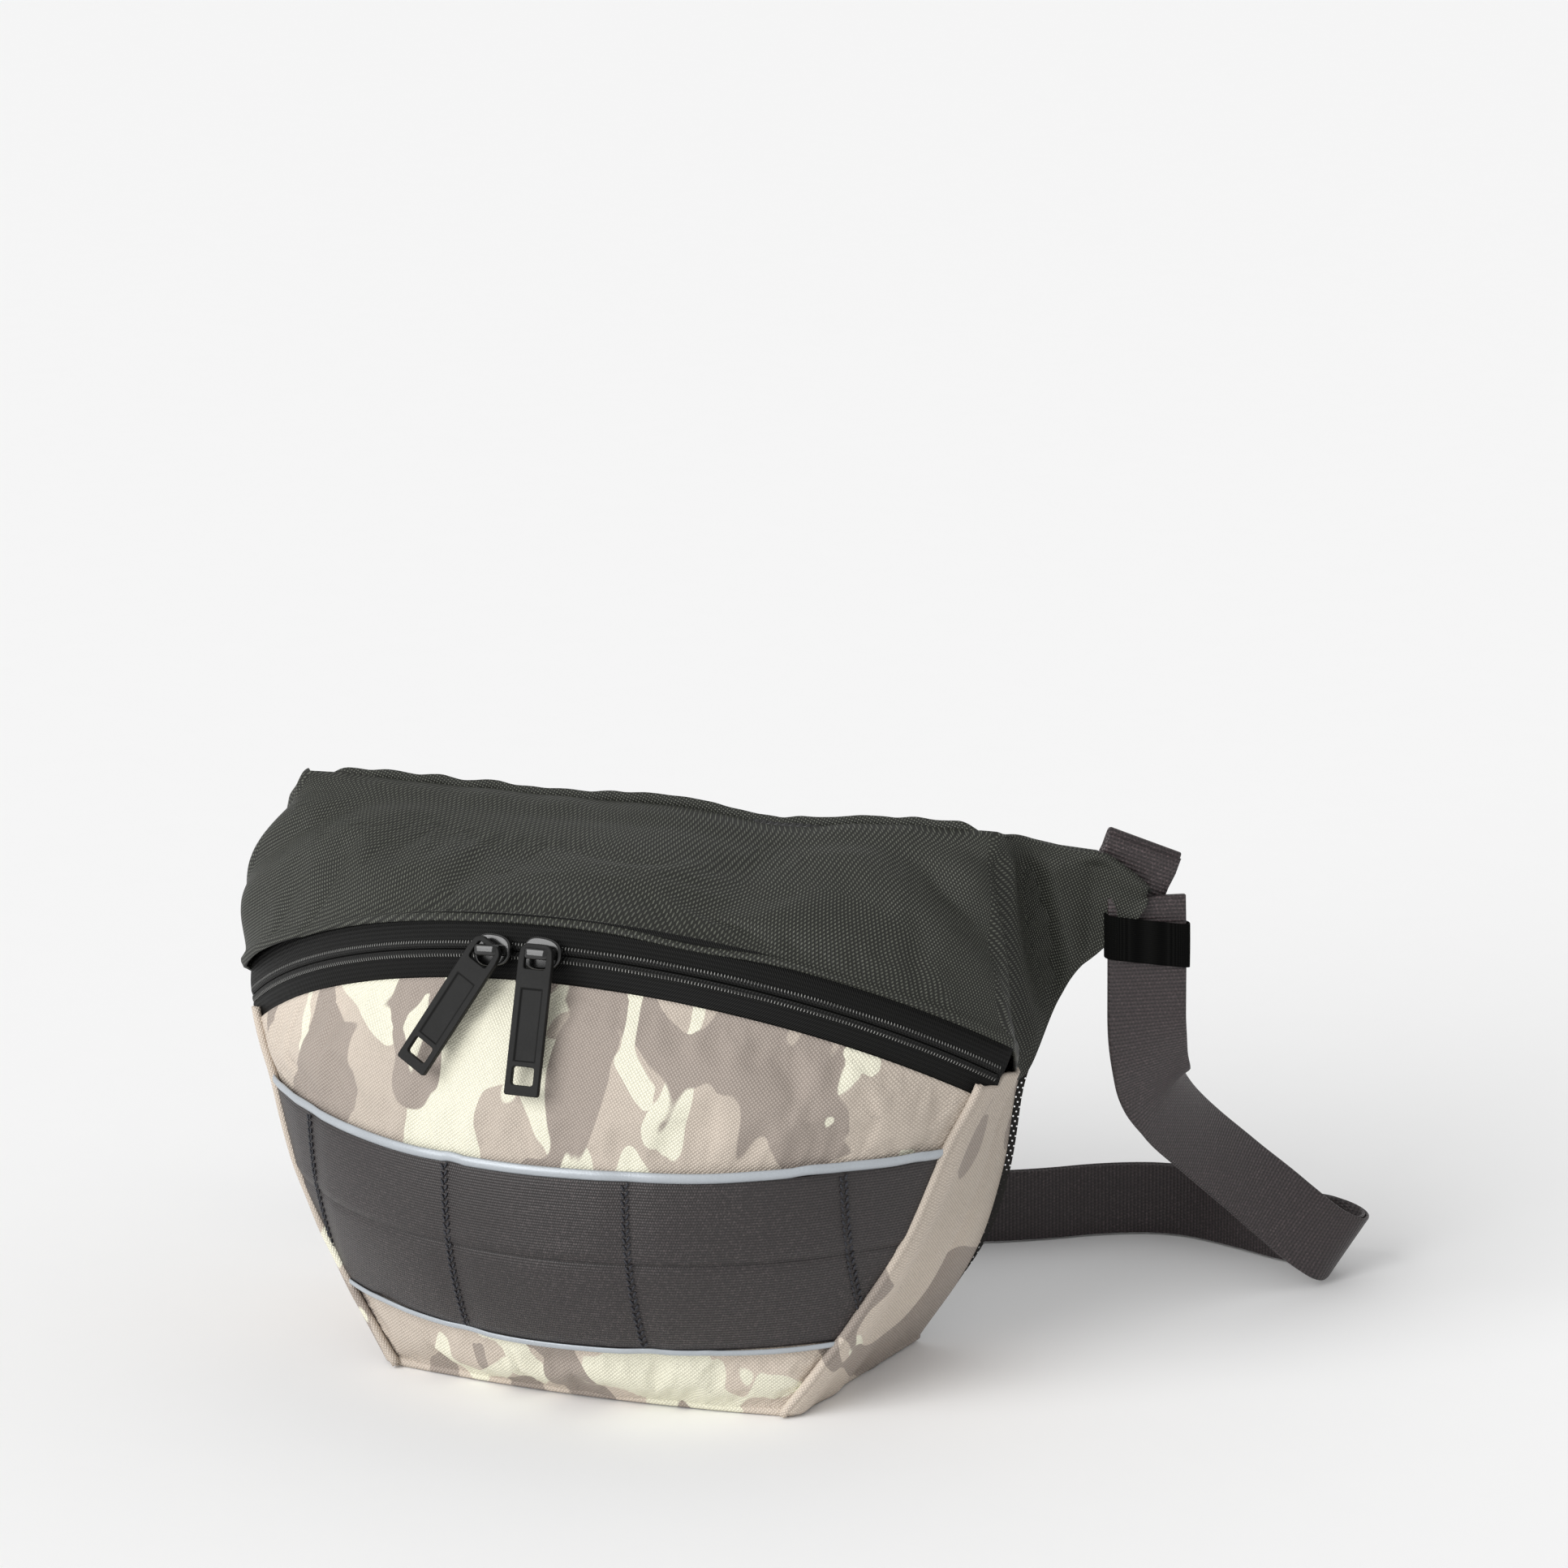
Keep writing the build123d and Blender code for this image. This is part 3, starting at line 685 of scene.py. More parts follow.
def girth_at(x, z):
    """Girth of the front at which the pouch has a given x."""
    side, side_y, front_y, _, _ = level_at(z)
    rise = side_y - front_y
    radius = (side ** 2 + rise ** 2) / (2 * rise)
    return math.asin(max(-1.0, min(1.0, x / radius))) / math.atan2(side, radius - rise)


def flat_front(point):
    """Cloth coordinates of the wrapped panels: round the pouch and up it, in metres."""
    turn = point.x / (abs(point.x) + 25 * MM)
    return point.x * 1.08 + turn * max(point.y + 20 * MM, 0) * 0.8, point.z * 1.04


def from_middle(centre):
    return lambda point: point - centre


POUCH_MIDDLE = Vector((0, 10 * MM, 100 * MM))


def thicken(piece, thickness):
    """Give a sheet its wall, inwards from its outer face."""
    wall = piece.modifiers.new("Wall", "SOLIDIFY")
    wall.thickness = thickness
    wall.offset = -1.0
    wall.use_even_offset = True


def smooth_further(piece):
    finer = piece.modifiers.new("Finer", "SUBSURF")
    finer.levels = finer.render_levels = 1


CLOTH_FRAMES = 18
CLOTH_RULES = {
    "quality": 6, "mass": 0.25, "tension_stiffness": 25, "compression_stiffness": 12,
    "shear_stiffness": 6, "bending_stiffness": 2.5, "air_damping": 3, "use_pressure": True,
    "vertex_group_mass": "held"}


def settle(piece, is_held, pressure, slack, cap):
    """Cloth simulation that lets a panel puff and pucker between its seams."""
    start = [vertex.co.copy() for vertex in piece.data.vertices]
    held = piece.vertex_groups.new(name="held")
    for vertex in piece.data.vertices:
        held.add([vertex.index], is_held(vertex.co), "REPLACE")
    cloth = piece.modifiers.new("Cloth", "CLOTH")
    rules = cloth.settings
    for rule, value in CLOTH_RULES.items():
        setattr(rules, rule, value)
    rules.uniform_pressure_force = pressure
    rules.shrink_min = -slack
    rules.effector_weights.gravity = 0
    cloth.collision_settings.use_collision = False
    cloth.collision_settings.use_self_collision = False
    scene = bpy.context.scene
    for number in range(1, CLOTH_FRAMES + 1):
        scene.frame_set(number)
    moved = piece.evaluated_get(bpy.context.evaluated_depsgraph_get()).to_mesh()
    places = [vertex.co.copy() for vertex in moved.vertices]
    piece.modifiers.remove(cloth)
    for vertex, before, after in zip(piece.data.vertices, start, places):
        shift = after - before
        if shift.length > cap:
            shift *= cap / shift.length
        vertex.co = before + shift
    piece.vertex_groups.clear()
    stand_up(piece)
    scene.frame_set(1)
    piece.data.update()


def chain(angle):
    """Point on the zipper's closing line, with the directions along it, up the panel and outwards."""
    out = Vector((math.sin(angle), 0, 0)) + ZIPPER_UP * math.cos(angle)
    along = Vector((math.cos(angle), 0, 0)) - ZIPPER_UP * math.sin(angle)
    normal = out * math.cos(PANEL_LEAN) - ZIPPER_AXIS * math.sin(PANEL_LEAN)
    return ZIPPER_CENTRE + out * ZIPPER_RADIUS, along, normal.cross(along), normal


def zipper_edge(girth, side):
    """Where a panel's folded edge lies beside the zipper: side is 1 above it and -1 below."""
    point, _, up, normal = chain(girth * ZIPPER_END)
    return point + up * (side * sizes().tape_half) + normal * (1.4 * MM)


def wing_frame(side):
    """Root, outward and facing directions of a wing, with its reach."""
    turn, reach = (28.0, 47 * MM) if side > 0 else (54.0, 52 * MM)
    turn = math.radians(turn)
    root = Vector((side * 147.5 * MM, 38 * MM, 0))
    out = Vector((side * math.cos(turn), math.sin(turn), 0))
    face = Vector((side * math.sin(turn), -math.cos(turn), 0))
    return root, out, face, reach


TIP_SHARE = 0.97      # how far along the wing the hood's cloth reaches
# Heights of a wing's lower and upper edge in mm, at shares of its reach.
WING_LOWER = ((-0.3, 134), (0.08, 141), (0.32, 153), (0.46, 161), (0.65, 170), (0.82, 176.5), (1.0, 187))
WING_UPPER = ((-0.3, 211), (0.05, 210.5), (0.30, 207), (0.62, 204), (0.80, 197), (1.0, 189.5))


def along_table(table, share):
    share = min(max(share, table[0][0]), table[-1][0])
    for (low, start), (high, end) in zip(table, table[1:]):
        if share <= high:
            return start + (end - start) * (share - low) / (high - low)
    return table[-1][1]


def wing_edges(side, share):
    """Lower and upper height of a wing at a share of its reach."""
    drop = 0.0 if side > 0 else 26.0 * max(share, 0.0)
    return (along_table(WING_LOWER, share) - drop) * MM, (along_table(WING_UPPER, share) - drop) * MM


def catmull(a, b, c, d, t):
    """Point a share t of the way from b to c, on the smooth line through a, b, c and d."""
    return 0.5 * ((2 * b) + (c - a) * t + (2 * a - 5 * b + 4 * c - d) * t * t
                  + (3 * b - a - 3 * c + d) * t ** 3)


def hood_point(s, v):
    """The hood's cloth: s runs -2 to 2 from wing tip to wing tip, v from the zipper up to the top."""
    hand = math.copysign(1, s)
    girth = max(-1.0, min(1.0, s))
    edge = zipper_edge(girth, 1)
    z = edge.z + (TOP - edge.z) * v
    base = around(girth, z)
    point = base + (edge - around(girth, edge.z)) * (1 - soft(v / 0.3))
    if abs(s) > 1:
        t = abs(s) - 1
        root, out, face, reach = wing_frame(hand)
        corner = Vector((hand * 150 * MM, 34 * MM, 119 * MM + (211 - 119) * MM * v))
        tip_low, tip_high = wing_edges(hand, TIP_SHARE)
        stand = 7.5 * MM if hand > 0 else 3.4 * MM
        rise = Vector((0, 0, tip_low + (tip_high - tip_low) * v))
        tip = root + out * (reach * TIP_SHARE) + face * stand + rise
        inner = around(hand * 0.9, z)
        beyond = tip + out * (20 * MM)
        first = 0.45
        if t < first:
            point = catmull(inner, point, corner, tip, t / first)
        else:
            point = catmull(point, corner, tip, beyond, (t - first) / (1 - first))
            share = (t - first) / (1 - first)
            lower, upper = wing_edges(hand, share * TIP_SHARE)
            wing_z = lower + (upper - lower) * v
            blend = 1.0 if share > 0.5 else soft(share * 2)
            point.z = point.z * (1 - blend) + wing_z * blend
            point += face * (3.2 * MM * soft((share - 0.25) / 0.3) * (hand > 0))
    if s < -0.7:
        first = 15 * bell(point.z, 176 * MM, 24 * MM) * bell(abs(s), 1.05, 0.24)
        second = 13 * bell(point.z, 158 * MM, 15 * MM) * bell(abs(s), 1.30, 0.13)
        point = point + Vector((-(first + second) * MM, second * 0.5 * MM, 0))
    return point


# Folds of the hood beside the wings: place at the zipper and at the top, width, and height in mm.
FOLDS = (
    (1.44, 1.02, 0.11, -3.4), (1.54, 1.20, 0.10, 3.6), (1.64, 1.42, 0.08, -3.2),
    (1.36, 0.84, 0.11, 2.8), (1.28, 0.74, 0.07, -2.8), (1.68, 1.58, 0.06, 3.2),
    (1.74, 1.76, 0.05, -2.4), (1.20, 0.58, 0.10, 1.8))


def fold_depth(s, v):
    """Height of the hood's folds where the wings pull on it."""
    depth = 0.0
    for foot, head, width, amount in FOLDS:
        line = foot + (head - foot) * v
        fade = soft(min(v * 5 + 0.25, (1.02 - v) * 6 + 0.1, 1.0))
        for hand in (1, -1):
            depth += amount * fade * bell(s * hand, line, width) * (1.0 if hand > 0 else 0.8)
    return depth * MM


# ---------------------------------------------------------------- ribbons and tubes

def spline_points(name, points):
    """Points along the smooth line that a route's control points give."""
    curve = bpy.data.curves.new(name, "CURVE")
    curve.dimensions = "3D"
    spline = curve.splines.new("NURBS")
    spline.points.add(len(points) - 1)
    for control, point in zip(spline.points, points):
        control.co = (*point, 1.0)
    spline.order_u = 3
    spline.use_endpoint_u = True
    spline.resolution_u = 14
    holder = bpy.data.objects.new(name, curve)
    bpy.context.scene.collection.objects.link(holder)
    line = bpy.data.meshes.new_from_object(holder)
    path = [vertex.co.copy() for vertex in line.vertices]
    bpy.data.objects.remove(holder)
    bpy.data.meshes.remove(line)
    return path


def path_length(path):
    return sum((b - a).length for a, b in zip(path, path[1:]))


def tangents(path):
    ends = [path[1] - path[0]] + [c - a for a, c in zip(path, path[2:])] + [path[-1] - path[-2]]
    return [end.normalized() for end in ends]


def numbered_grid(columns, rows):
    """A flat grid, with the column and row of each of its corners."""
    bm = bmesh.new()
    bmesh.ops.create_grid(bm, x_segments=columns, y_segments=rows, size=0.5)
    spots = {vertex: (round((vertex.co.x + 0.5) * columns), round((vertex.co.y + 0.5) * rows))
             for vertex in bm.verts}
    return bm, spots


def swept(path, section, across_at):
    """A tube along a path: section is its ring of offsets, across_at(share) its width direction."""
    runs = [0.0]
    for a, b in zip(path, path[1:]):
        runs.append(runs[-1] + (b - a).length)
    whole = runs[-1]
    heads = tangents(path)
    count = len(section)
    bm, spots = numbered_grid(len(path) - 1, count)
    layer = bm.loops.layers.uv.new("cloth")
    girth = [0.0]
    for a, b in zip(section, section[1:] + section[:1]):
        girth.append(girth[-1] + math.dist(a, b))
    for face in bm.faces:
        for loop in face.loops:
            i, j = spots[loop.vert]
            loop[layer].uv = (runs[i], girth[j])
    for vertex, (i, j) in spots.items():
        head = heads[i]
        across = across_at(runs[i] / whole)
        across = (across - head * across.dot(head)).normalized()
        thick = head.cross(across)
        width, depth = section[j % count]
        vertex.co = path[i] + across * width + thick * depth
    bmesh.ops.remove_doubles(bm, verts=bm.verts[:], dist=0.02 * MM)
    bmesh.ops.holes_fill(bm, edges=[edge for edge in bm.edges if edge.is_boundary], sides=count + 2)
    bmesh.ops.recalc_face_normals(bm, faces=bm.faces[:])
    return bm


def flat_section(width, thickness, flats=6):
    """Ring of a webbing's cross section, with rounded selvedges."""
    half, thick = width / 2, thickness / 2
    top = [(-half + thick + (width - 2 * thick) * i / flats, thick) for i in range(flats + 1)]
    right = [(half - thick * 0.3, thick * 0.72), (half, 0), (half - thick * 0.3, -thick * 0.72)]
    bottom = [(-x, -thick) for x, _ in top]
    left = [(-x, -y) for x, y in right]
    return top + right + bottom + left


def oval_section(across, thick, sides):
    turns = [math.tau * i / sides for i in range(sides)]
    return [(across * math.cos(turn), thick * math.sin(turn)) for turn in turns]


def mixed_direction(directions, shares):
    """Width direction along a route, turning evenly from one control point to the next."""
    vectors = [Vector(d).normalized() for d in directions]

    def at(share):
        for (a, b), (low, high) in zip(zip(vectors, vectors[1:]), zip(shares, shares[1:])):
            if share <= high:
                return a.lerp(b, soft((share - low) / max(high - low, 1e-6))).normalized()
        return vectors[-1]
    return at


def shares_of(points):
    runs = [0.0]
    for a, b in zip(points, points[1:]):
        runs.append(runs[-1] + (Vector(b) - Vector(a)).length)
    return [run / runs[-1] for run in runs]


# ---------------------------------------------------------------- operators

class PackOperator:
    """What every step of the pack has in common."""
    bl_options = {"REGISTER", "UNDO"}

    def execute(self, context):
        self.build(context.scene.pack_sizes)
        return {"FINISHED"}


class PACK_OT_stage(PackOperator, bpy.types.Operator):
    """Lay a pale floor, soft lights and the camera"""
    bl_idname = "pack.stage"
    bl_label = "Studio"

    def build(self, size):
        scene = bpy.context.scene
        bm = bmesh.new()
        bmesh.ops.create_circle(bm, cap_ends=True, segments=96, radius=24.0)
        floor = new_piece("floor", bm, "studio_paper", smooth=False)
        world = bpy.data.worlds.new("studio")
        world.use_nodes = True
        world.node_tree.nodes["Background"].inputs["Color"].default_value = (1, 1, 1, 1)
        world.node_tree.nodes["Background"].inputs["Strength"].default_value = 0.61
        scene.world = world
        for name, direction, strength, spread in (
                ("key", (-0.50, -0.86, 0.55), 2.35, 45), ("rim", (0.8, 0.5, 0.7), 0.12, 80)):
            lamp = bpy.data.lights.new(name, "SUN")
            lamp.energy = strength
            lamp.angle = math.radians(spread)
            light = bpy.data.objects.new(name, lamp)
            light.rotation_euler = Vector(direction).to_track_quat("Z", "Y").to_euler()
            scene.collection.objects.link(light)
        azimuth, elevation, roll = math.radians(21.2), math.radians(15.3), math.radians(0.8)
        back = Vector((math.sin(azimuth) * math.cos(elevation), -math.cos(azimuth) * math.cos(elevation),
                       math.sin(elevation)))
        right = Vector((math.cos(azimuth), math.sin(azimuth), 0))
        up = back.cross(right)
        turned = right * math.cos(roll) - up * math.sin(roll)
        upright = right * math.sin(roll) + up * math.cos(roll)
        lens = bpy.data.cameras.new("camera")
        lens.lens = 123.3
        lens.sensor_width = 36
        lens.clip_end = 60
        camera = bpy.data.objects.new("camera", lens)
        axes = Matrix((turned, upright, back)).transposed().to_4x4()
        target = Vector((71.8 * MM, -15 * MM, 238.9 * MM))
        camera.matrix_world = Matrix.Translation(target + back * 1.992) @ axes
        scene.collection.objects.link(camera)
        scene.camera = camera
        scene.view_settings.view_transform = "Standard"


# The strap's middle line in mm, and the direction of its width at each point.
MAIN_ROUTE = [
    (190.3, 55.5, 187.0), (191.26, 53.68, 172), (191.26, 53.68, 150), (191.26, 53.68, 134),
    (190, 64, 113), (188, 84, 94), (194, 110, 73), (205, 131, 53),
    (219, 145, 35), (231, 152, 22), (239, 158, 15.5), (240, 170, 14.5), (230, 177, 15.2), (213, 176, 15.6),
    (188, 186, 15.7), (161, 194, 15.6), (135, 185, 15.7), (109, 167, 15.6), (80, 153, 15.8), (44, 143, 18),
    (-6, 136, 20)]
MAIN_WIDTHS = [
    (0.883, 0.469, 0), (0.883, 0.469, 0), (0.883, 0.469, 0), (0.883, 0.469, 0),
    (0.75, 0.65, 0.05), (0.3, 0.85, 0.35), (0.2, 0.72, 0.65),
    (0.2, 0.6, 0.77), (0.28, 0.5, 0.8), (0.42, 0.45, 0.75), (0.5, 0.4, 0.72), (0.46, 0.25, 0.8),
    (0.2, 0.1, 0.97)] + [(0, 0, 1)] * 8
LEFT_ROUTE = [
    (-167.35, 76.73, 150.7), (-167.35, 76.73, 126), (-160, 88, 103), (-146, 105, 78), (-129, 120, 54),
    (-109, 131, 33), (-92, 136, 20.6), (-78, 136, 20)]
LEFT_WIDTHS = [
    (-0.588, 0.809, 0), (-0.588, 0.809, 0), (-0.5, 0.8, 0.25), (-0.4, 0.6, 0.6),
    (-0.2, 0.3, 0.85), (0, 0.1, 1), (0, 0, 1), (0, 0, 1)]


class PACK_OT_straps(PackOperator, bpy.types.Operator):
    """Run the waist strap from each wing to the buckle behind the pack"""
    bl_idname = "pack.straps"
    bl_label = "Waist strap"

    def build(self, size):
        main = [Vector(point) * MM for point in MAIN_ROUTE]
        widths = mixed_direction(MAIN_WIDTHS, shares_of(main))
        self.strap("strap_main", main, widths, size)
        across = [Vector(width).normalized() for width in MAIN_WIDTHS]
        heads = tangents(main)
        back = [point + head.cross(width).normalized() * size.layer_pitch
                for point, head, width in zip(main, heads, across)]
        self.strap("strap_return", back, widths, size)
        left = [Vector(point) * MM for point in LEFT_ROUTE]
        self.strap("strap_left", left, mixed_direction(LEFT_WIDTHS, shares_of(left)), size)

    def strap(self, node, route, widths, size):
        path = spline_points(node, route)
        section = flat_section(size.webbing_width, size.webbing_thickness)
        piece = new_piece(node + "_webbing", swept(path, section, widths), "strap_webbing")
        attach(piece, node)
        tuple(path[0])
        path_length(path)


class PACK_OT_front(PackOperator, bpy.types.Operator):
    """Sew the camouflage front, gussets and base"""
    bl_idname = "pack.front"
    bl_label = "Front, gussets and base"

    def build(self, size):
        self.front_panel(size)
        for hand, name in ((-1, "left"), (1, "right")):
            self.gusset(hand, name, size)
        self.base(size)
        self.ridges()

    def front_panel(self, size):
        def place(u, v):
            girth = u * 2 - 1
            edge = zipper_edge(girth, -1)
            z = edge.z * v
            point = around(girth, z) + (edge - around(girth, edge.z)) * soft((v - 0.7) / 0.3)
            normal = outward(girth, z)
            high = soft((z - 104 * MM) / (edge.z - 100 * MM))
            swell = 2.2 * MM * math.sin(math.pi * high) * (1 - girth ** 6)
            low = bell(z, 14 * MM, 9 * MM) * 1.6 * MM * (1 - girth ** 4)
            wave = ripple(girth * 5.5, z * 42, 1.7) * 0.9 * MM * (1 - girth ** 8)
            return point + normal * (swell + low + wave * (z > 100 * MM or z < 32 * MM))
        panel = new_piece("front_cloth", laid_grid(150, 90, place, flat_front, from_middle(POUCH_MIDDLE)),
                          "camouflage_fabric")
        settle(panel, self.held_front, 5.0, size.slack, 3.5 * MM)
        thicken(panel, size.fabric)
        attach(panel, "front_panel")

    @staticmethod
    def held_front(point):
        seam = abs(point.x) / max(level_at(point.z)[0], 1e-3)
        panel_zone = soft((112 * MM - point.z) / (6 * MM)) * soft((point.z - 26 * MM) / (5 * MM))
        edge = soft((-zipper_distance(point) - 11 * MM) / (6 * MM))
        return max(panel_zone, soft((seam - 0.93) / 0.05), 1 - edge, soft((6 * MM - point.z) / (4 * MM)))

    def gusset(self, hand, name, size):
        def place(u, v):
            lip = 0.045
            girth = hand * (1 - lip + (SIDE + lip) * u)
            front_top = zipper_edge(hand, -1).z + 7 * MM
            share = max(abs(girth) - 1, 0) / SIDE
            top = front_top + (121 * MM - front_top) * share
            z = 1.0 * MM + (top - 1.0 * MM) * v
            normal = outward(girth, z)
            point = around(girth, z) + normal * (2.4 * MM * soft((1.12 - abs(girth)) / 0.12) + 0.4 * MM)
            crease = 1.36 - 0.10 * (1 - v)
            valley = -3.0 * MM * bell(abs(girth), crease, 0.045) * soft(v * 4)
            crown = 1.8 * MM * bell(abs(girth), crease - 0.12, 0.07)
            wave = ripple(u * 4.5 + v * 2, v * 2.2, 4.4 * hand) * 2.0 * MM * math.sin(math.pi * u)
            return point + normal * ((valley + crown) * math.sin(math.pi * share) + wave)

        def rounded(u, v):
            return 0.03 < u < 0.22
        bm = laid_grid(60, 84, place, flat_front, from_middle(POUCH_MIDDLE), rounded, 8)
        piece = new_piece("gusset_cloth_" + name, bm, "camouflage_fabric")
        thicken(piece, size.fabric)
        attach(piece, "gusset_" + name)

    def base(self, size):
        def place(u, v):
            side, side_y, front_y, back_side, back_y = level_at(0)
            x = (u * 2 - 1)
            rise = side_y - front_y
            front = front_y + rise * x * x
            y = front + (back_y - front) * v
            half = side + (back_side - side) * v
            return Vector((x * half, y, 0.9 * MM + 0.5 * MM * (1 - abs(x) ** 8)))
        bm = laid_grid(60, 30, place, (0.19, 0.09), lambda point: Vector((0, 0, -1)))
        piece = new_piece("base_cloth", bm, "camouflage_fabric")
        thicken(piece, 1.0 * MM)
        attach(piece, "bottom_panel")

    def ridges(self):
        """Rolled seam between the front panel and each gusset, and round the base."""
        for hand, name in ((-1, "left"), (1, "right")):
            top = zipper_edge(hand, -1).z + 7 * MM
            count = 60
            path = []
            for i in range(count + 1):
                z = 1.5 * MM + (top - 1.5 * MM) * i / count
                wobble = ripple(z * 60, 3.1 * hand, 0.4) * 0.5 * MM
                path.append(around(hand * 0.958, z) + outward(hand * 0.95, z) * (1.9 * MM + wobble))
            section = oval_section(1.75 * MM, 1.75 * MM, 12)
            bm = swept(path, section, lambda share: Vector((0.5 * hand, 0.6, 0)))
            piece = new_piece("front_seam_" + name, bm, "camouflage_fabric")
            attach(piece)
        count = 120
        path = []
        for i in range(count + 1):
            girth = -1 - SIDE + (2 + 2 * SIDE) * i / count
            path.append(around(girth, 2.0 * MM) - outward(girth, 4 * MM) * (0.8 * MM))
        bm = swept(path, oval_section(1.9 * MM, 1.9 * MM, 10), lambda share: Vector((0, 0, 1)))
        piece = new_piece("base_seam", bm, "camouflage_fabric")
        attach(piece)


class PACK_OT_webbing(PackOperator, bpy.types.Operator):
    """Sew the webbing rows, reflective tapes and stitch columns on the front"""
    bl_idname = "pack.webbing"
    bl_label = "Webbing panel"

    def build(self, size):
        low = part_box("webbing_row_lower")
        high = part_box("webbing_row_upper")
        self.row("lower", low[0].z - 0.3 * MM, low[1].z, 0.0, size)
        self.row("upper", low[1].z - 0.4 * MM, high[1].z + 1.2 * MM, 0.5 * MM, size)
        self.tape("reflective_upper", "reflective_tape_top", high[1].z + 0.4 * MM, 3.9 * MM, 1.3 * MM)
        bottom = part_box("reflective_tape_bottom")
        self.tape("reflective_lower", "reflective_tape_bottom", bottom[0].z, 2.6 * MM, 1.0 * MM)
        self.stitches(low[0].z + 1 * MM, high[1].z, size)

    @staticmethod
    def pillow(x, size):
        """0 on a stitch column and 1 half way between two of them."""
        share = (x / size.stitch_pitch + 0.5) % 1.0
        near = min(share, 1 - share) * size.stitch_pitch
        return soft(near / (11 * MM)) * (0.75 + 0.25 * math.sin(math.pi * share))

    def lift(self, x, z, size):
        """Height of the webbing over the front: it stands up between its stitch columns."""
        return (0.9 + 0.8 * self.pillow(x, size)) * MM + ripple(x * 30, z * 30, 7) * 0.35 * MM

    def row(self, name, low, high, step, size):
        def place(u, v):
            girth = (u * 2 - 1) * 0.995
            z = low + (high - low) * v
            point = around(girth, z)
            edge = soft(min(v, 1 - v) * 9)
            rise = self.lift(point.x, z, size) * (0.55 + 0.45 * edge) + step * (1 - soft(v * 3)) + 0.5 * MM
            rise *= 0.35 + 0.65 * soft((1 - abs(girth)) * 16)
            return point + outward(girth, z) * rise
        bm = laid_grid(216, 26, place, flat_front, from_middle(POUCH_MIDDLE))
        piece = new_piece("webbing_" + name, bm, "panel_webbing")
        thicken(piece, 1.3 * MM)
        attach(piece, "webbing_row_" + name)

    def tape(self, name, node, low, height, lift):
        size = sizes()

        def place(u, v):
            girth = (u * 2 - 1) * 0.995
            x = around(girth, low).x
            wave = ripple(x * 24, 2.2, low * 50) * 1.1 * MM
            wave += max(ripple(x * 70, 6.2, low * 50) - 0.25, 0) * 3.0 * MM
            z = low + height * v + wave * 0.8
            round_over = math.sin(math.pi * (0.08 + 0.84 * v))
            rise = 1.0 * MM + self.pillow(x, size) * 0.7 * MM + lift * round_over + abs(wave) * 0.4
            rise *= 0.35 + 0.65 * soft((1 - abs(girth)) * 16)
            return around(girth, z) + outward(girth, z) * rise
        bm = laid_grid(216, 8, place, flat_front, from_middle(POUCH_MIDDLE))
        piece = new_piece(name, bm, "reflective_tape")
        thicken(piece, 0.8 * MM)
        attach(piece, node)

    def stitches(self, low, high, size):
        bm = bmesh.new()
        pitch = 2.9 * MM
        for column in (-1.5, -0.5, 0.5, 1.5):
            x = column * size.stitch_pitch
            for i in range(int((high - low) / pitch)):
                z = low + (i + 0.5) * pitch
                for side in (-1, 1):
                    self.stitch(bm, x + side * 0.75 * MM, z + side * 0.45 * MM, side, size)
        piece = new_piece("stitch_columns", bm, "thread")
        attach(piece, "webbing_stitching")

    def stitch(self, bm, x, z, side, size):
        """One bar of the zigzag, a small rounded thread lying on the webbing."""
        girth = girth_at(x, z)
        normal = outward(girth, z)
        spot = around(girth, z) + normal * (self.lift(x, z, size) + 0.9 * MM)
        along = Vector((side * 0.55, 0, 1)).normalized()
        along = (along - normal * along.dot(normal)).normalized()
        axes = Matrix((normal.cross(along), along, normal)).transposed().to_4x4()
        made = bmesh.ops.create_icosphere(bm, subdivisions=1, radius=1.0)
        stretch = Matrix.Diagonal((0.50 * MM, 1.6 * MM, 0.48 * MM, 1.0))
        bmesh.ops.transform(bm, matrix=Matrix.Translation(spot) @ axes @ stretch, verts=made["verts"])


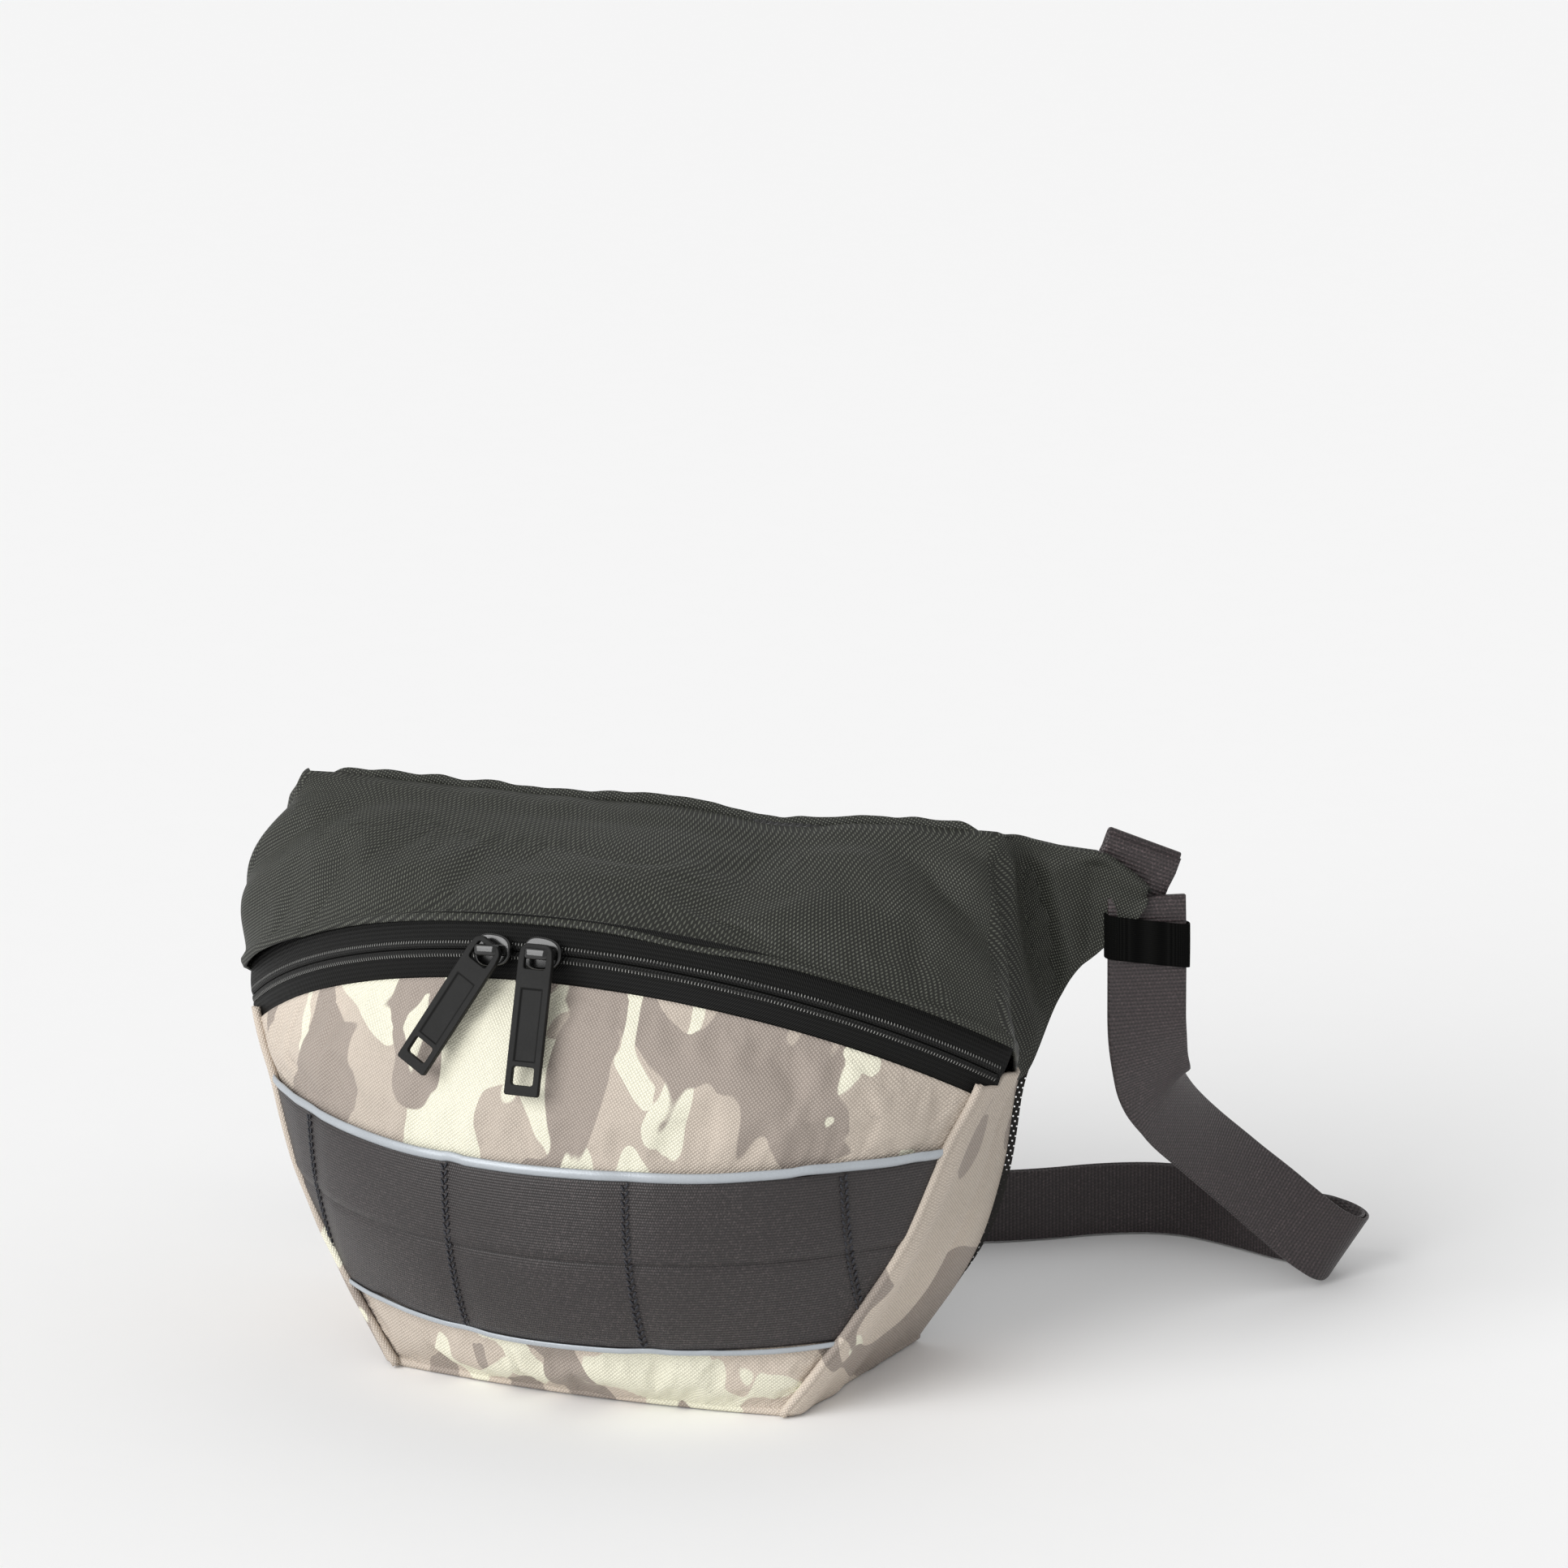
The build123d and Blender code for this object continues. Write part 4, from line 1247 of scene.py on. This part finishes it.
class PACK_OT_hood(PackOperator, bpy.types.Operator):
    """Drape the dark hood from wing tip to wing tip, with its gathered top edge"""
    bl_idname = "pack.hood"
    bl_label = "Hood"

    def build(self, size):
        over = 1.14

        def place(u, v):
            s, v = u * 4 - 2, v * over
            front = hood_point(s, min(v, 1.0))
            if v <= 1:
                return front
            t = (v - 1) / (over - 1)
            keep = soft((1.35 - abs(s)) / 0.4)
            back = Vector((front.x * 0.99, 25.5 * MM, TOP + 1.5 * MM))
            wing = front + Vector((0, 5.0 * MM, -1.5 * MM))
            ruck = ripple(front.x * 45, v * 2, 0.9)
            arch = math.sin(math.pi * t) * (1.8 + ruck * 1.2) * MM
            return front.lerp(wing.lerp(back, keep), t) + Vector((0, 0, arch))

        def rounded(u, v):
            return 0.78 < abs(u * 4 - 2) < 1.75 and 0.06 < v * over < 1.1

        def relief(u, v, point):
            s, v = u * 4 - 2, v * over
            if v > 1:
                return 0.0
            roll = 1.2 * bell(v, 0.04, 0.03) * (abs(s) < 1.3)
            swell = 3.0 * math.sin(math.pi * v) * (1 - min(abs(s) / 1.3, 1.0) ** 4)
            slow = ripple(point.x * 16, v * 2.1, 3.3) * 2.4 * math.sin(math.pi * v)
            slant = ripple(point.x * 26 + v * 3.0, v * 1.2, 8.3) * math.sin(math.pi * v)
            return (fold_depth(s, v) + (roll + swell + slow + slant) * MM) * soft((1 - v) * 8)
        facing = from_middle(Vector((0, 60 * MM, 150 * MM)))
        bm = laid_grid(280, 72, place, flat_front, facing, rounded, 50, relief)
        for vertex in bm.verts:
            vertex.co = drape(vertex.co)
        piece = new_piece("hood_cloth", bm, "dark_fabric")
        settle(piece, self.held, 1.6, size.slack * 0.25, 2.5 * MM)
        thicken(piece, 1.2 * MM)
        attach(piece, "top_panel")
        self.binding()

    @staticmethod
    def held(point):
        near_zip = soft((16 * MM - zipper_distance(point)) / (5 * MM)) if point.y < 0 else 0.0
        near_top = soft((point.z - 205 * MM) / (6 * MM))
        near_wing = soft((abs(point.x) - 138 * MM) / (8 * MM))
        return max(near_zip, near_top, near_wing)

    def binding(self):
        """Gathered edge where the hood meets the back panel."""
        count = 220
        path = []
        for i in range(count + 1):
            x = (-139 + 278 * i / count) * MM
            gather = ripple(x * 110, 5.5, 0.3)
            ruck = ripple(x * 30, 1.5, 0.3)
            lift = TOP + (1.9 + gather * 0.8 + ruck * 1.3 - 5.0 * soft((abs(x) / MM - 126) / 13)) * MM
            path.append(drape(Vector((x, 25.2 * MM + gather * 0.9 * MM, lift))))
        bm = swept(path, oval_section(2.9 * MM, 1.6 * MM, 10), lambda share: Vector((0, 0, 1)))
        piece = new_piece("top_binding_cloth", bm, "dark_fabric")
        attach(piece, "top_binding")


class PACK_OT_zipper(PackOperator, bpy.types.Operator):
    """Lay the two zipper tapes and the closed chain along the arc"""
    bl_idname = "pack.zipper"
    bl_label = "Zipper"

    def build(self, size):
        for side, name in ((1, "upper"), (-1, "lower")):
            self.tape(side, name, size)
            self.coil(side, name)

    def tape(self, side, name, size):
        width = size.tape_half + 3.0 * MM

        def place(u, v):
            angle = (u * 2 - 1) * (ZIPPER_END + math.radians(0.6))
            point, _, up, normal = chain(angle)
            under = 1 - soft(v * 6)
            offset = (0.3 - 1.8 * (side > 0)) * MM + v * (width + 1.5 * MM)
            puff = 0.55 * MM * math.sin(math.pi * min(v * 1.25, 1.0))
            return point + up * (side * offset) + normal * ((1.0 - v * 1.2 - under * 0.9) * MM + puff)
        length = 2 * ZIPPER_RADIUS * ZIPPER_END
        bm = laid_grid(180, 10, place, (length, side * width), lambda p: p - Vector((0, 77 * MM, 62 * MM)))
        piece = new_piece("zipper_tape_cloth_" + name, bm, "zipper_tape")
        thicken(piece, 0.9 * MM)
        attach(piece, "zipper_tape_" + name)

    def coil(self, side, name):
        """One half of the closed chain under its knitted cover, with the fine closing line between."""
        def place(u, v):
            angle = (u * 2 - 1) * ZIPPER_END
            point, _, up, normal = chain(angle)
            turn = math.pi * v
            offset = 0.12 * MM + 1.55 * MM * (1 - math.cos(turn))
            return point + up * (side * offset) + normal * (0.9 * MM + 0.85 * MM * math.sin(turn) ** 0.8)
        length = 2 * ZIPPER_RADIUS * ZIPPER_END
        bm = laid_grid(320, 8, place, (length, side * 4 * MM), lambda p: p - Vector((0, 77 * MM, 62 * MM)))
        piece = new_piece("zipper_chain_" + name, bm, "zipper_coil")
        thicken(piece, 0.3 * MM)
        attach(piece, "zipper_coil_" + name)


LEFT_SLIDER = math.radians(-6.4)
RIGHT_SLIDER = math.radians(-0.4)
LEFT_SWING = math.radians(-32.0)      # how far the left pull has swung aside
ROD_HEIGHT = 10.2 * MM      # the bar that a pull hangs on, above the closing line


def axes_at(origin, across, up, normal):
    return Matrix.Translation(origin) @ Matrix((across, up, normal)).transposed().to_4x4()


def bevel_sharp(bm, width, segments=3, limit=0.5):
    edges = [edge for edge in bm.edges if edge.is_manifold and edge.calc_face_angle(0) > limit]
    bmesh.ops.bevel(bm, geom=edges, offset=width, offset_type="OFFSET", segments=segments, profile=0.5,
                    affect="EDGES", material=-1, clamp_overlap=True)


class PACK_OT_sliders(PackOperator, bpy.types.Operator):
    """Mould the two sliders and their long pulls"""
    bl_idname = "pack.sliders"
    bl_label = "Sliders and pulls"

    def build(self, size):
        for name, angle, swing in (("left", LEFT_SLIDER, LEFT_SWING), ("right", RIGHT_SLIDER, 0.0)):
            origin, along, up, normal = chain(angle)
            frame_here = axes_at(origin, along, up, normal)
            self.slider(name, frame_here)
            self.pull(name, frame_here, swing)

    def slider(self, name, frame_here):
        bm = bmesh.new()
        made = bmesh.ops.create_circle(bm, cap_ends=True, segments=40, radius=1.0)
        for vertex in made["verts"]:
            x, y = vertex.co.x, vertex.co.y
            reach = (abs(x) ** 2.6 + abs(y) ** 2.6) ** (-1 / 2.6)
            vertex.co = Vector((x * reach * 7.6 * MM, y * reach * 6.1 * MM * (1.0 - 0.10 * x), 2.6 * MM))
        top = bmesh.ops.extrude_face_region(bm, geom=bm.faces[:])
        raised = [item for item in top["geom"] if isinstance(item, bmesh.types.BMVert)]
        bmesh.ops.translate(bm, verts=raised, vec=(0, 0, 3.3 * MM))
        bmesh.ops.recalc_face_normals(bm, faces=bm.faces[:])
        bevel_sharp(bm, 1.0 * MM, 4)
        path = []
        for i in range(25):
            turn = math.pi * i / 24
            x = -4.6 * MM * math.cos(turn)
            z = 5.0 * MM + (ROD_HEIGHT + 0.9 * MM - 5.0 * MM) * min(math.sin(turn) * 1.6, 1.0) ** 0.7
            path.append(Vector((x, 0, z)))
        section = flat_section(4.2 * MM, 1.9 * MM, 3)
        bridge = swept(path, section, lambda share: Vector((0, 1, 0)))
        held = bpy.data.meshes.new("bridge")
        bridge.to_mesh(held)
        bridge.free()
        bm.from_mesh(held)
        bpy.data.meshes.remove(held)
        bmesh.ops.transform(bm, matrix=frame_here, verts=bm.verts[:])
        bmesh.ops.recalc_face_normals(bm, faces=bm.faces[:])
        piece = new_piece("slider_shell_" + name, bm, "slider_enamel")
        attach(piece, "slider_" + name, f"slider_{name}_body")

    def pull(self, name, frame_here, swing):
        half = 6.8 * MM
        thick = 2.3 * MM
        xs = [-half, -4.3 * MM, -1.4 * MM, 1.4 * MM, 4.3 * MM, half]
        ys = [-52.5, -50.0, -48.6, -41.8, -40.0, -26.0, -13.0, -9.5, -5.8, -2.4, 1.6, 3.6]
        ys = [y * MM for y in ys]
        bm, spots = numbered_grid(len(xs) - 1, len(ys) - 1)
        for vertex, (i, j) in spots.items():
            taper = 1.0
            if j >= 10:
                taper = 0.93 if j == 10 else 0.62
            vertex.co = Vector((xs[i] * taper, ys[j], 0))
        holes = []
        for face in bm.faces:
            spot = [spots[vertex] for vertex in face.verts]
            i, j = min(a for a, _ in spot), min(b for _, b in spot)
            window = i in (1, 2, 3) and j == 2
            eye = i in (1, 2, 3) and j in (8, 9)
            if window or eye:
                holes.append(face)
        bmesh.ops.delete(bm, geom=holes, context="FACES")
        whole = bmesh.ops.extrude_face_region(bm, geom=bm.faces[:])
        upper = [item for item in whole["geom"] if isinstance(item, bmesh.types.BMVert)]
        bmesh.ops.translate(bm, verts=upper, vec=(0, 0, thick))
        bmesh.ops.recalc_face_normals(bm, faces=bm.faces[:])
        label = [face for face in bm.faces if face.normal.z > 0.9
                 and abs(face.calc_center_median().x) < 4.4 * MM
                 and -40.2 * MM < face.calc_center_median().y < -13.2 * MM]
        bmesh.ops.inset_region(bm, faces=label, thickness=0.35 * MM, depth=-0.55 * MM, use_even_offset=True)
        corners = [edge for edge in bm.edges if edge.is_manifold and edge.calc_face_angle(0) > 0.5
                   and abs((edge.verts[0].co - edge.verts[1].co).normalized().z) > 0.9]
        bmesh.ops.bevel(bm, geom=corners, offset=1.0 * MM, offset_type="OFFSET", segments=4, profile=0.5,
                        affect="EDGES", material=-1, clamp_overlap=True)
        bevel_sharp(bm, 0.32 * MM, 2, 0.6)
        hang = Matrix.Translation((0, 0, ROD_HEIGHT))
        lean = Matrix.Rotation(math.radians(-3.5), 4, "X")
        turn = Matrix.Rotation(swing, 4, "Z")
        drop = Matrix.Translation((0, 0, -thick / 2))
        bmesh.ops.transform(bm, matrix=frame_here @ hang @ turn @ lean @ drop, verts=bm.verts[:])
        piece = new_piece("pull_tab_" + name, bm, "pull_plastic", smooth=False)
        attach(piece, "pull_" + name, f"pull_{name}_body")


def wing_point(side, share, v, depth):
    """Point in a wing: share of its reach, share of its height, and distance in front of its middle."""
    root, out, face, reach = wing_frame(side)
    lower, upper = wing_edges(side, max(share, 0.0))
    return root + out * (reach * share) + face * depth + Vector((0, 0, lower + (upper - lower) * v))


class PACK_OT_wings(PackOperator, bpy.types.Operator):
    """Stuff the two padded wings behind the hood's cloth"""
    bl_idname = "pack.wings"
    bl_label = "Wings"

    def build(self, size):
        for side, name in ((1, "right"), (-1, "left")):
            def place(u, v, side=side):
                share = -0.12 + (0.74 if side > 0 else 1.08) * u
                return wing_point(side, share, v, 1.7 * MM)
            bm = laid_grid(30, 34, place, (0.06, 0.07), lambda p, side=side: wing_frame(side)[2])
            bmesh.ops.solidify(bm, geom=bm.faces[:], thickness=4.2 * MM)
            bmesh.ops.recalc_face_normals(bm, faces=bm.faces[:])
            piece = new_piece("wing_pad_" + name, bm, "dark_fabric")
            piece.data.materials.append(finish_named("spacer_mesh"))
            face_way = wing_frame(side)[2]
            for face in piece.data.polygons:
                if face.normal.dot(face_way) < -0.4:
                    face.material_index = 1
            settle(piece, lambda point, side=side: self.held(point, side), 4.0, size.slack, 2.2 * MM)
            smooth_further(piece)
            attach(piece, "wing_" + name)

    @staticmethod
    def held(point, side):
        root, out, _, reach = wing_frame(side)
        share = (point - root).dot(out) / reach
        lower, upper = wing_edges(side, max(share, 0))
        v = (point.z - lower) / max(upper - lower, 1e-4)
        edge = max(soft((0.08 - v) / 0.06), soft((v - 0.92) / 0.06), soft((share - 0.9) / 0.06),
                   soft((0.05 - share) / 0.1))
        return max(edge, bell(share, 0.5, 0.05))


class PACK_OT_anchors(PackOperator, bpy.types.Operator):
    """Fold the webbing ends that are sewn on the wing tips, and put the elastic keeper on"""
    bl_idname = "pack.anchors"
    bl_label = "Folded ends and keeper"

    def build(self, size):
        for side, name in ((1, "right"), (-1, "left")):
            self.fold(side, name, size)
        self.keeper(size)

    def fold(self, side, name, size):
        low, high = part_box("strap_anchor_" + name)
        centre = (low + high) / 2
        _, out, face, _ = wing_frame(side)
        pitch = size.layer_pitch
        tall = (high.z - low.z) / 2 - 1.4 * MM
        front = face * (1 if side > 0 else -1)
        path = []
        for layer in range(3):
            depth = (layer - 1) * pitch
            rising = layer % 2 == 0
            for i in range(9):
                t = i / 8 * 2 - 1
                path.append((depth, (t if rising else -t) * tall))
            if layer < 2:
                end = tall if rising else -tall
                for k in (1, 2, 3):
                    turn = math.pi * k / 4
                    path.append((depth + pitch / 2 * (1 - math.cos(turn)),
                                 end + math.copysign(pitch / 2 * math.sin(turn), end)))
        line = [centre + front * depth + Vector((0, 0, z)) for depth, z in path]
        bm = swept(line, flat_section(size.webbing_width, size.webbing_thickness * 0.95), lambda share: out)
        lean = math.radians(-23.0 if side > 0 else 6.0)
        turned = Matrix.Translation(centre) @ Matrix.Rotation(lean, 4, face) @ Matrix.Translation(-centre)
        for vertex in bm.verts:
            reach = (vertex.co - centre).dot(out) / (size.webbing_width / 2)
            wave = ripple(vertex.co.z * 70, (vertex.co - centre).dot(front) * 300, 2.0)
            vertex.co += front * (wave * 0.7 * MM * soft((reach * side - 0.1) / 0.8))
            vertex.co += out * (ripple(vertex.co.z * 150, 0.3, side) * 0.5 * MM * abs(reach))
        bmesh.ops.transform(bm, matrix=turned, verts=bm.verts[:])
        if side > 0:
            aside = out * (-4.5 * MM) - face * (5.0 * MM) + Vector((0, 0, 4.5 * MM))
            bmesh.ops.translate(bm, verts=bm.verts[:], vec=aside)
        piece = new_piece("folded_end_" + name, bm, "strap_webbing")
        attach(piece, "strap_anchor_" + name)

    def keeper(self, size):
        low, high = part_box("elastic_keeper")
        centre = (low + high) / 2 + Vector((0, 0, 6.0 * MM))
        _, out, face, _ = wing_frame(1)
        half_width, half_depth = 16.4 * MM, 3.7 * MM
        height = high.z - low.z + 4 * MM

        def place(u, v):
            turn = math.tau * u
            x, y = math.cos(turn), math.sin(turn)
            x = math.copysign(abs(x) ** 0.32, x) * half_width
            y = math.copysign(abs(y) ** 0.62, y) * half_depth
            z = (v - 0.5) * height - x / half_width * 2.6 * MM
            bow = 0.35 * MM * math.sin(math.pi * v)
            return centre + out * x + face * (y + math.copysign(bow, y)) + Vector((0, 0, z))
        bm = laid_grid(96, 16, place, (0.076, height), from_middle(centre))
        bmesh.ops.remove_doubles(bm, verts=bm.verts[:], dist=0.01 * MM)
        bmesh.ops.recalc_face_normals(bm, faces=bm.faces[:])
        piece = new_piece("keeper_band", bm, "elastic")
        thicken(piece, 0.9 * MM)
        attach(piece, "elastic_keeper", "keeper_body")


class PACK_OT_back(PackOperator, bpy.types.Operator):
    """Quilt the padded back panel and its mesh edge"""
    bl_idname = "pack.back"
    bl_label = "Back panel"

    def build(self, size):
        def place(u, v):
            z = 1.5 * MM + (TOP - 2.0 * MM) * v
            _, _, _, back_side, back_y = level_at(z)
            x = (u * 2 - 1) * (back_side - 0.5 * MM)
            return Vector((x, back_y - 0.8 * MM, z))
        bm = laid_grid(96, 72, place, (0.29, 0.21), lambda p: Vector((0, 1, 0)))
        bmesh.ops.solidify(bm, geom=bm.faces[:], thickness=5.5 * MM)
        bmesh.ops.recalc_face_normals(bm, faces=bm.faces[:])
        piece = new_piece("back_pad", bm, "spacer_mesh")
        settle(piece, self.held, 5.0, size.slack, 3.0 * MM)
        for vertex in piece.data.vertices:
            if vertex.co.y > level_at(vertex.co.z)[4] - 3 * MM:
                vertex.co.y += self.quilt(vertex.co)
        piece.data.update()
        smooth_further(piece)
        attach(piece, "back_panel")
        self.flanges()

    @staticmethod
    def channels(point):
        """Nearness to a sewn channel, 1 on it: two upright channels, and two level ones between them."""
        aside = 1.0 if abs(point.x) > 46 * MM else 0.0
        lines = [abs(abs(point.x) - 46 * MM), abs(point.z - 60 * MM) + aside,
                 abs(point.z - 140 * MM) + aside]
        return max(bell(gap, 0, 3.2 * MM) for gap in lines)

    def quilt(self, point):
        return 1.6 * MM - 3.4 * MM * self.channels(point)

    def held(self, point):
        back_side = level_at(point.z)[3]
        border = min(back_side - abs(point.x), point.z, TOP - point.z)
        return max(soft((7 * MM - border) / (5 * MM)), self.channels(point))

    def flanges(self):
        """The single layer of mesh that stands out along each side seam."""
        for hand, name in ((-1, "left"), (1, "right")):
            def place(u, v, hand=hand):
                z = 22 * MM + (128 * MM - 22 * MM) * v
                _, _, _, back_side, back_y = level_at(z)
                wave = ripple(z * 40, hand * 2.0, 0.7) * 0.8 * MM
                taper = soft((z - 18 * MM) / (40 * MM)) * soft((134 * MM - z) / (8 * MM))
                out = (-1.0 + 4.4 * u * (0.25 + 0.75 * taper)) * MM
                return Vector((hand * (back_side + out), back_y - 1.2 * MM + wave, z))
            bm = laid_grid(6, 60, place, (5.6 * MM, 0.106), lambda p: Vector((0, 1, 0)))
            piece = new_piece("mesh_edge_" + name, bm, "open_mesh")
            attach(piece)


class PACK_OT_buckle(PackOperator, bpy.types.Operator):
    """Finish the side-release buckle behind the pack"""
    bl_idname = "pack.buckle"
    bl_label = "Buckle"

    def build(self, size):
        for node in ("buckle_socket", "buckle_plug", "buckle_arm_upper", "buckle_arm_lower"):
            part = frame["nodes"][node]
            part.data.materials.clear()
            part.data.materials.append(finish_named("buckle_plastic"))


class PACK_PT_panel(bpy.types.Panel):
    """Steps and sizes of the waist pack"""
    bl_idname = "PACK_PT_panel"
    bl_label = "Waist pack"
    bl_space_type = "VIEW_3D"
    bl_region_type = "UI"
    bl_category = "Waist pack"

    def draw(self, context):
        column = self.layout.column(align=True)
        for step in STEPS:
            column.operator(step.bl_idname)
        for group in (context.scene.pack_sizes, context.scene.pack_colours):
            column.separator()
            for key in group.__annotations__:
                column.prop(group, key)


STEPS = (PACK_OT_stage, PACK_OT_straps, PACK_OT_front, PACK_OT_webbing, PACK_OT_hood, PACK_OT_zipper,
         PACK_OT_sliders, PACK_OT_wings, PACK_OT_anchors, PACK_OT_back, PACK_OT_buckle)
CLASSES = (PackSizes, PackColours, *STEPS, PACK_PT_panel)


def register():
    for item in CLASSES:
        bpy.utils.register_class(item)
    bpy.types.Scene.pack_sizes = bpy.props.PointerProperty(type=PackSizes)
    bpy.types.Scene.pack_colours = bpy.props.PointerProperty(type=PackColours)


def unregister():
    del bpy.types.Scene.pack_sizes
    del bpy.types.Scene.pack_colours
    for item in reversed(CLASSES):
        bpy.utils.unregister_class(item)


def main():
    register()
    for step in STEPS:
        getattr(bpy.ops.pack, step.bl_idname.split(".")[1])()
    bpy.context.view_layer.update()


if __name__ == "__main__":
    main()
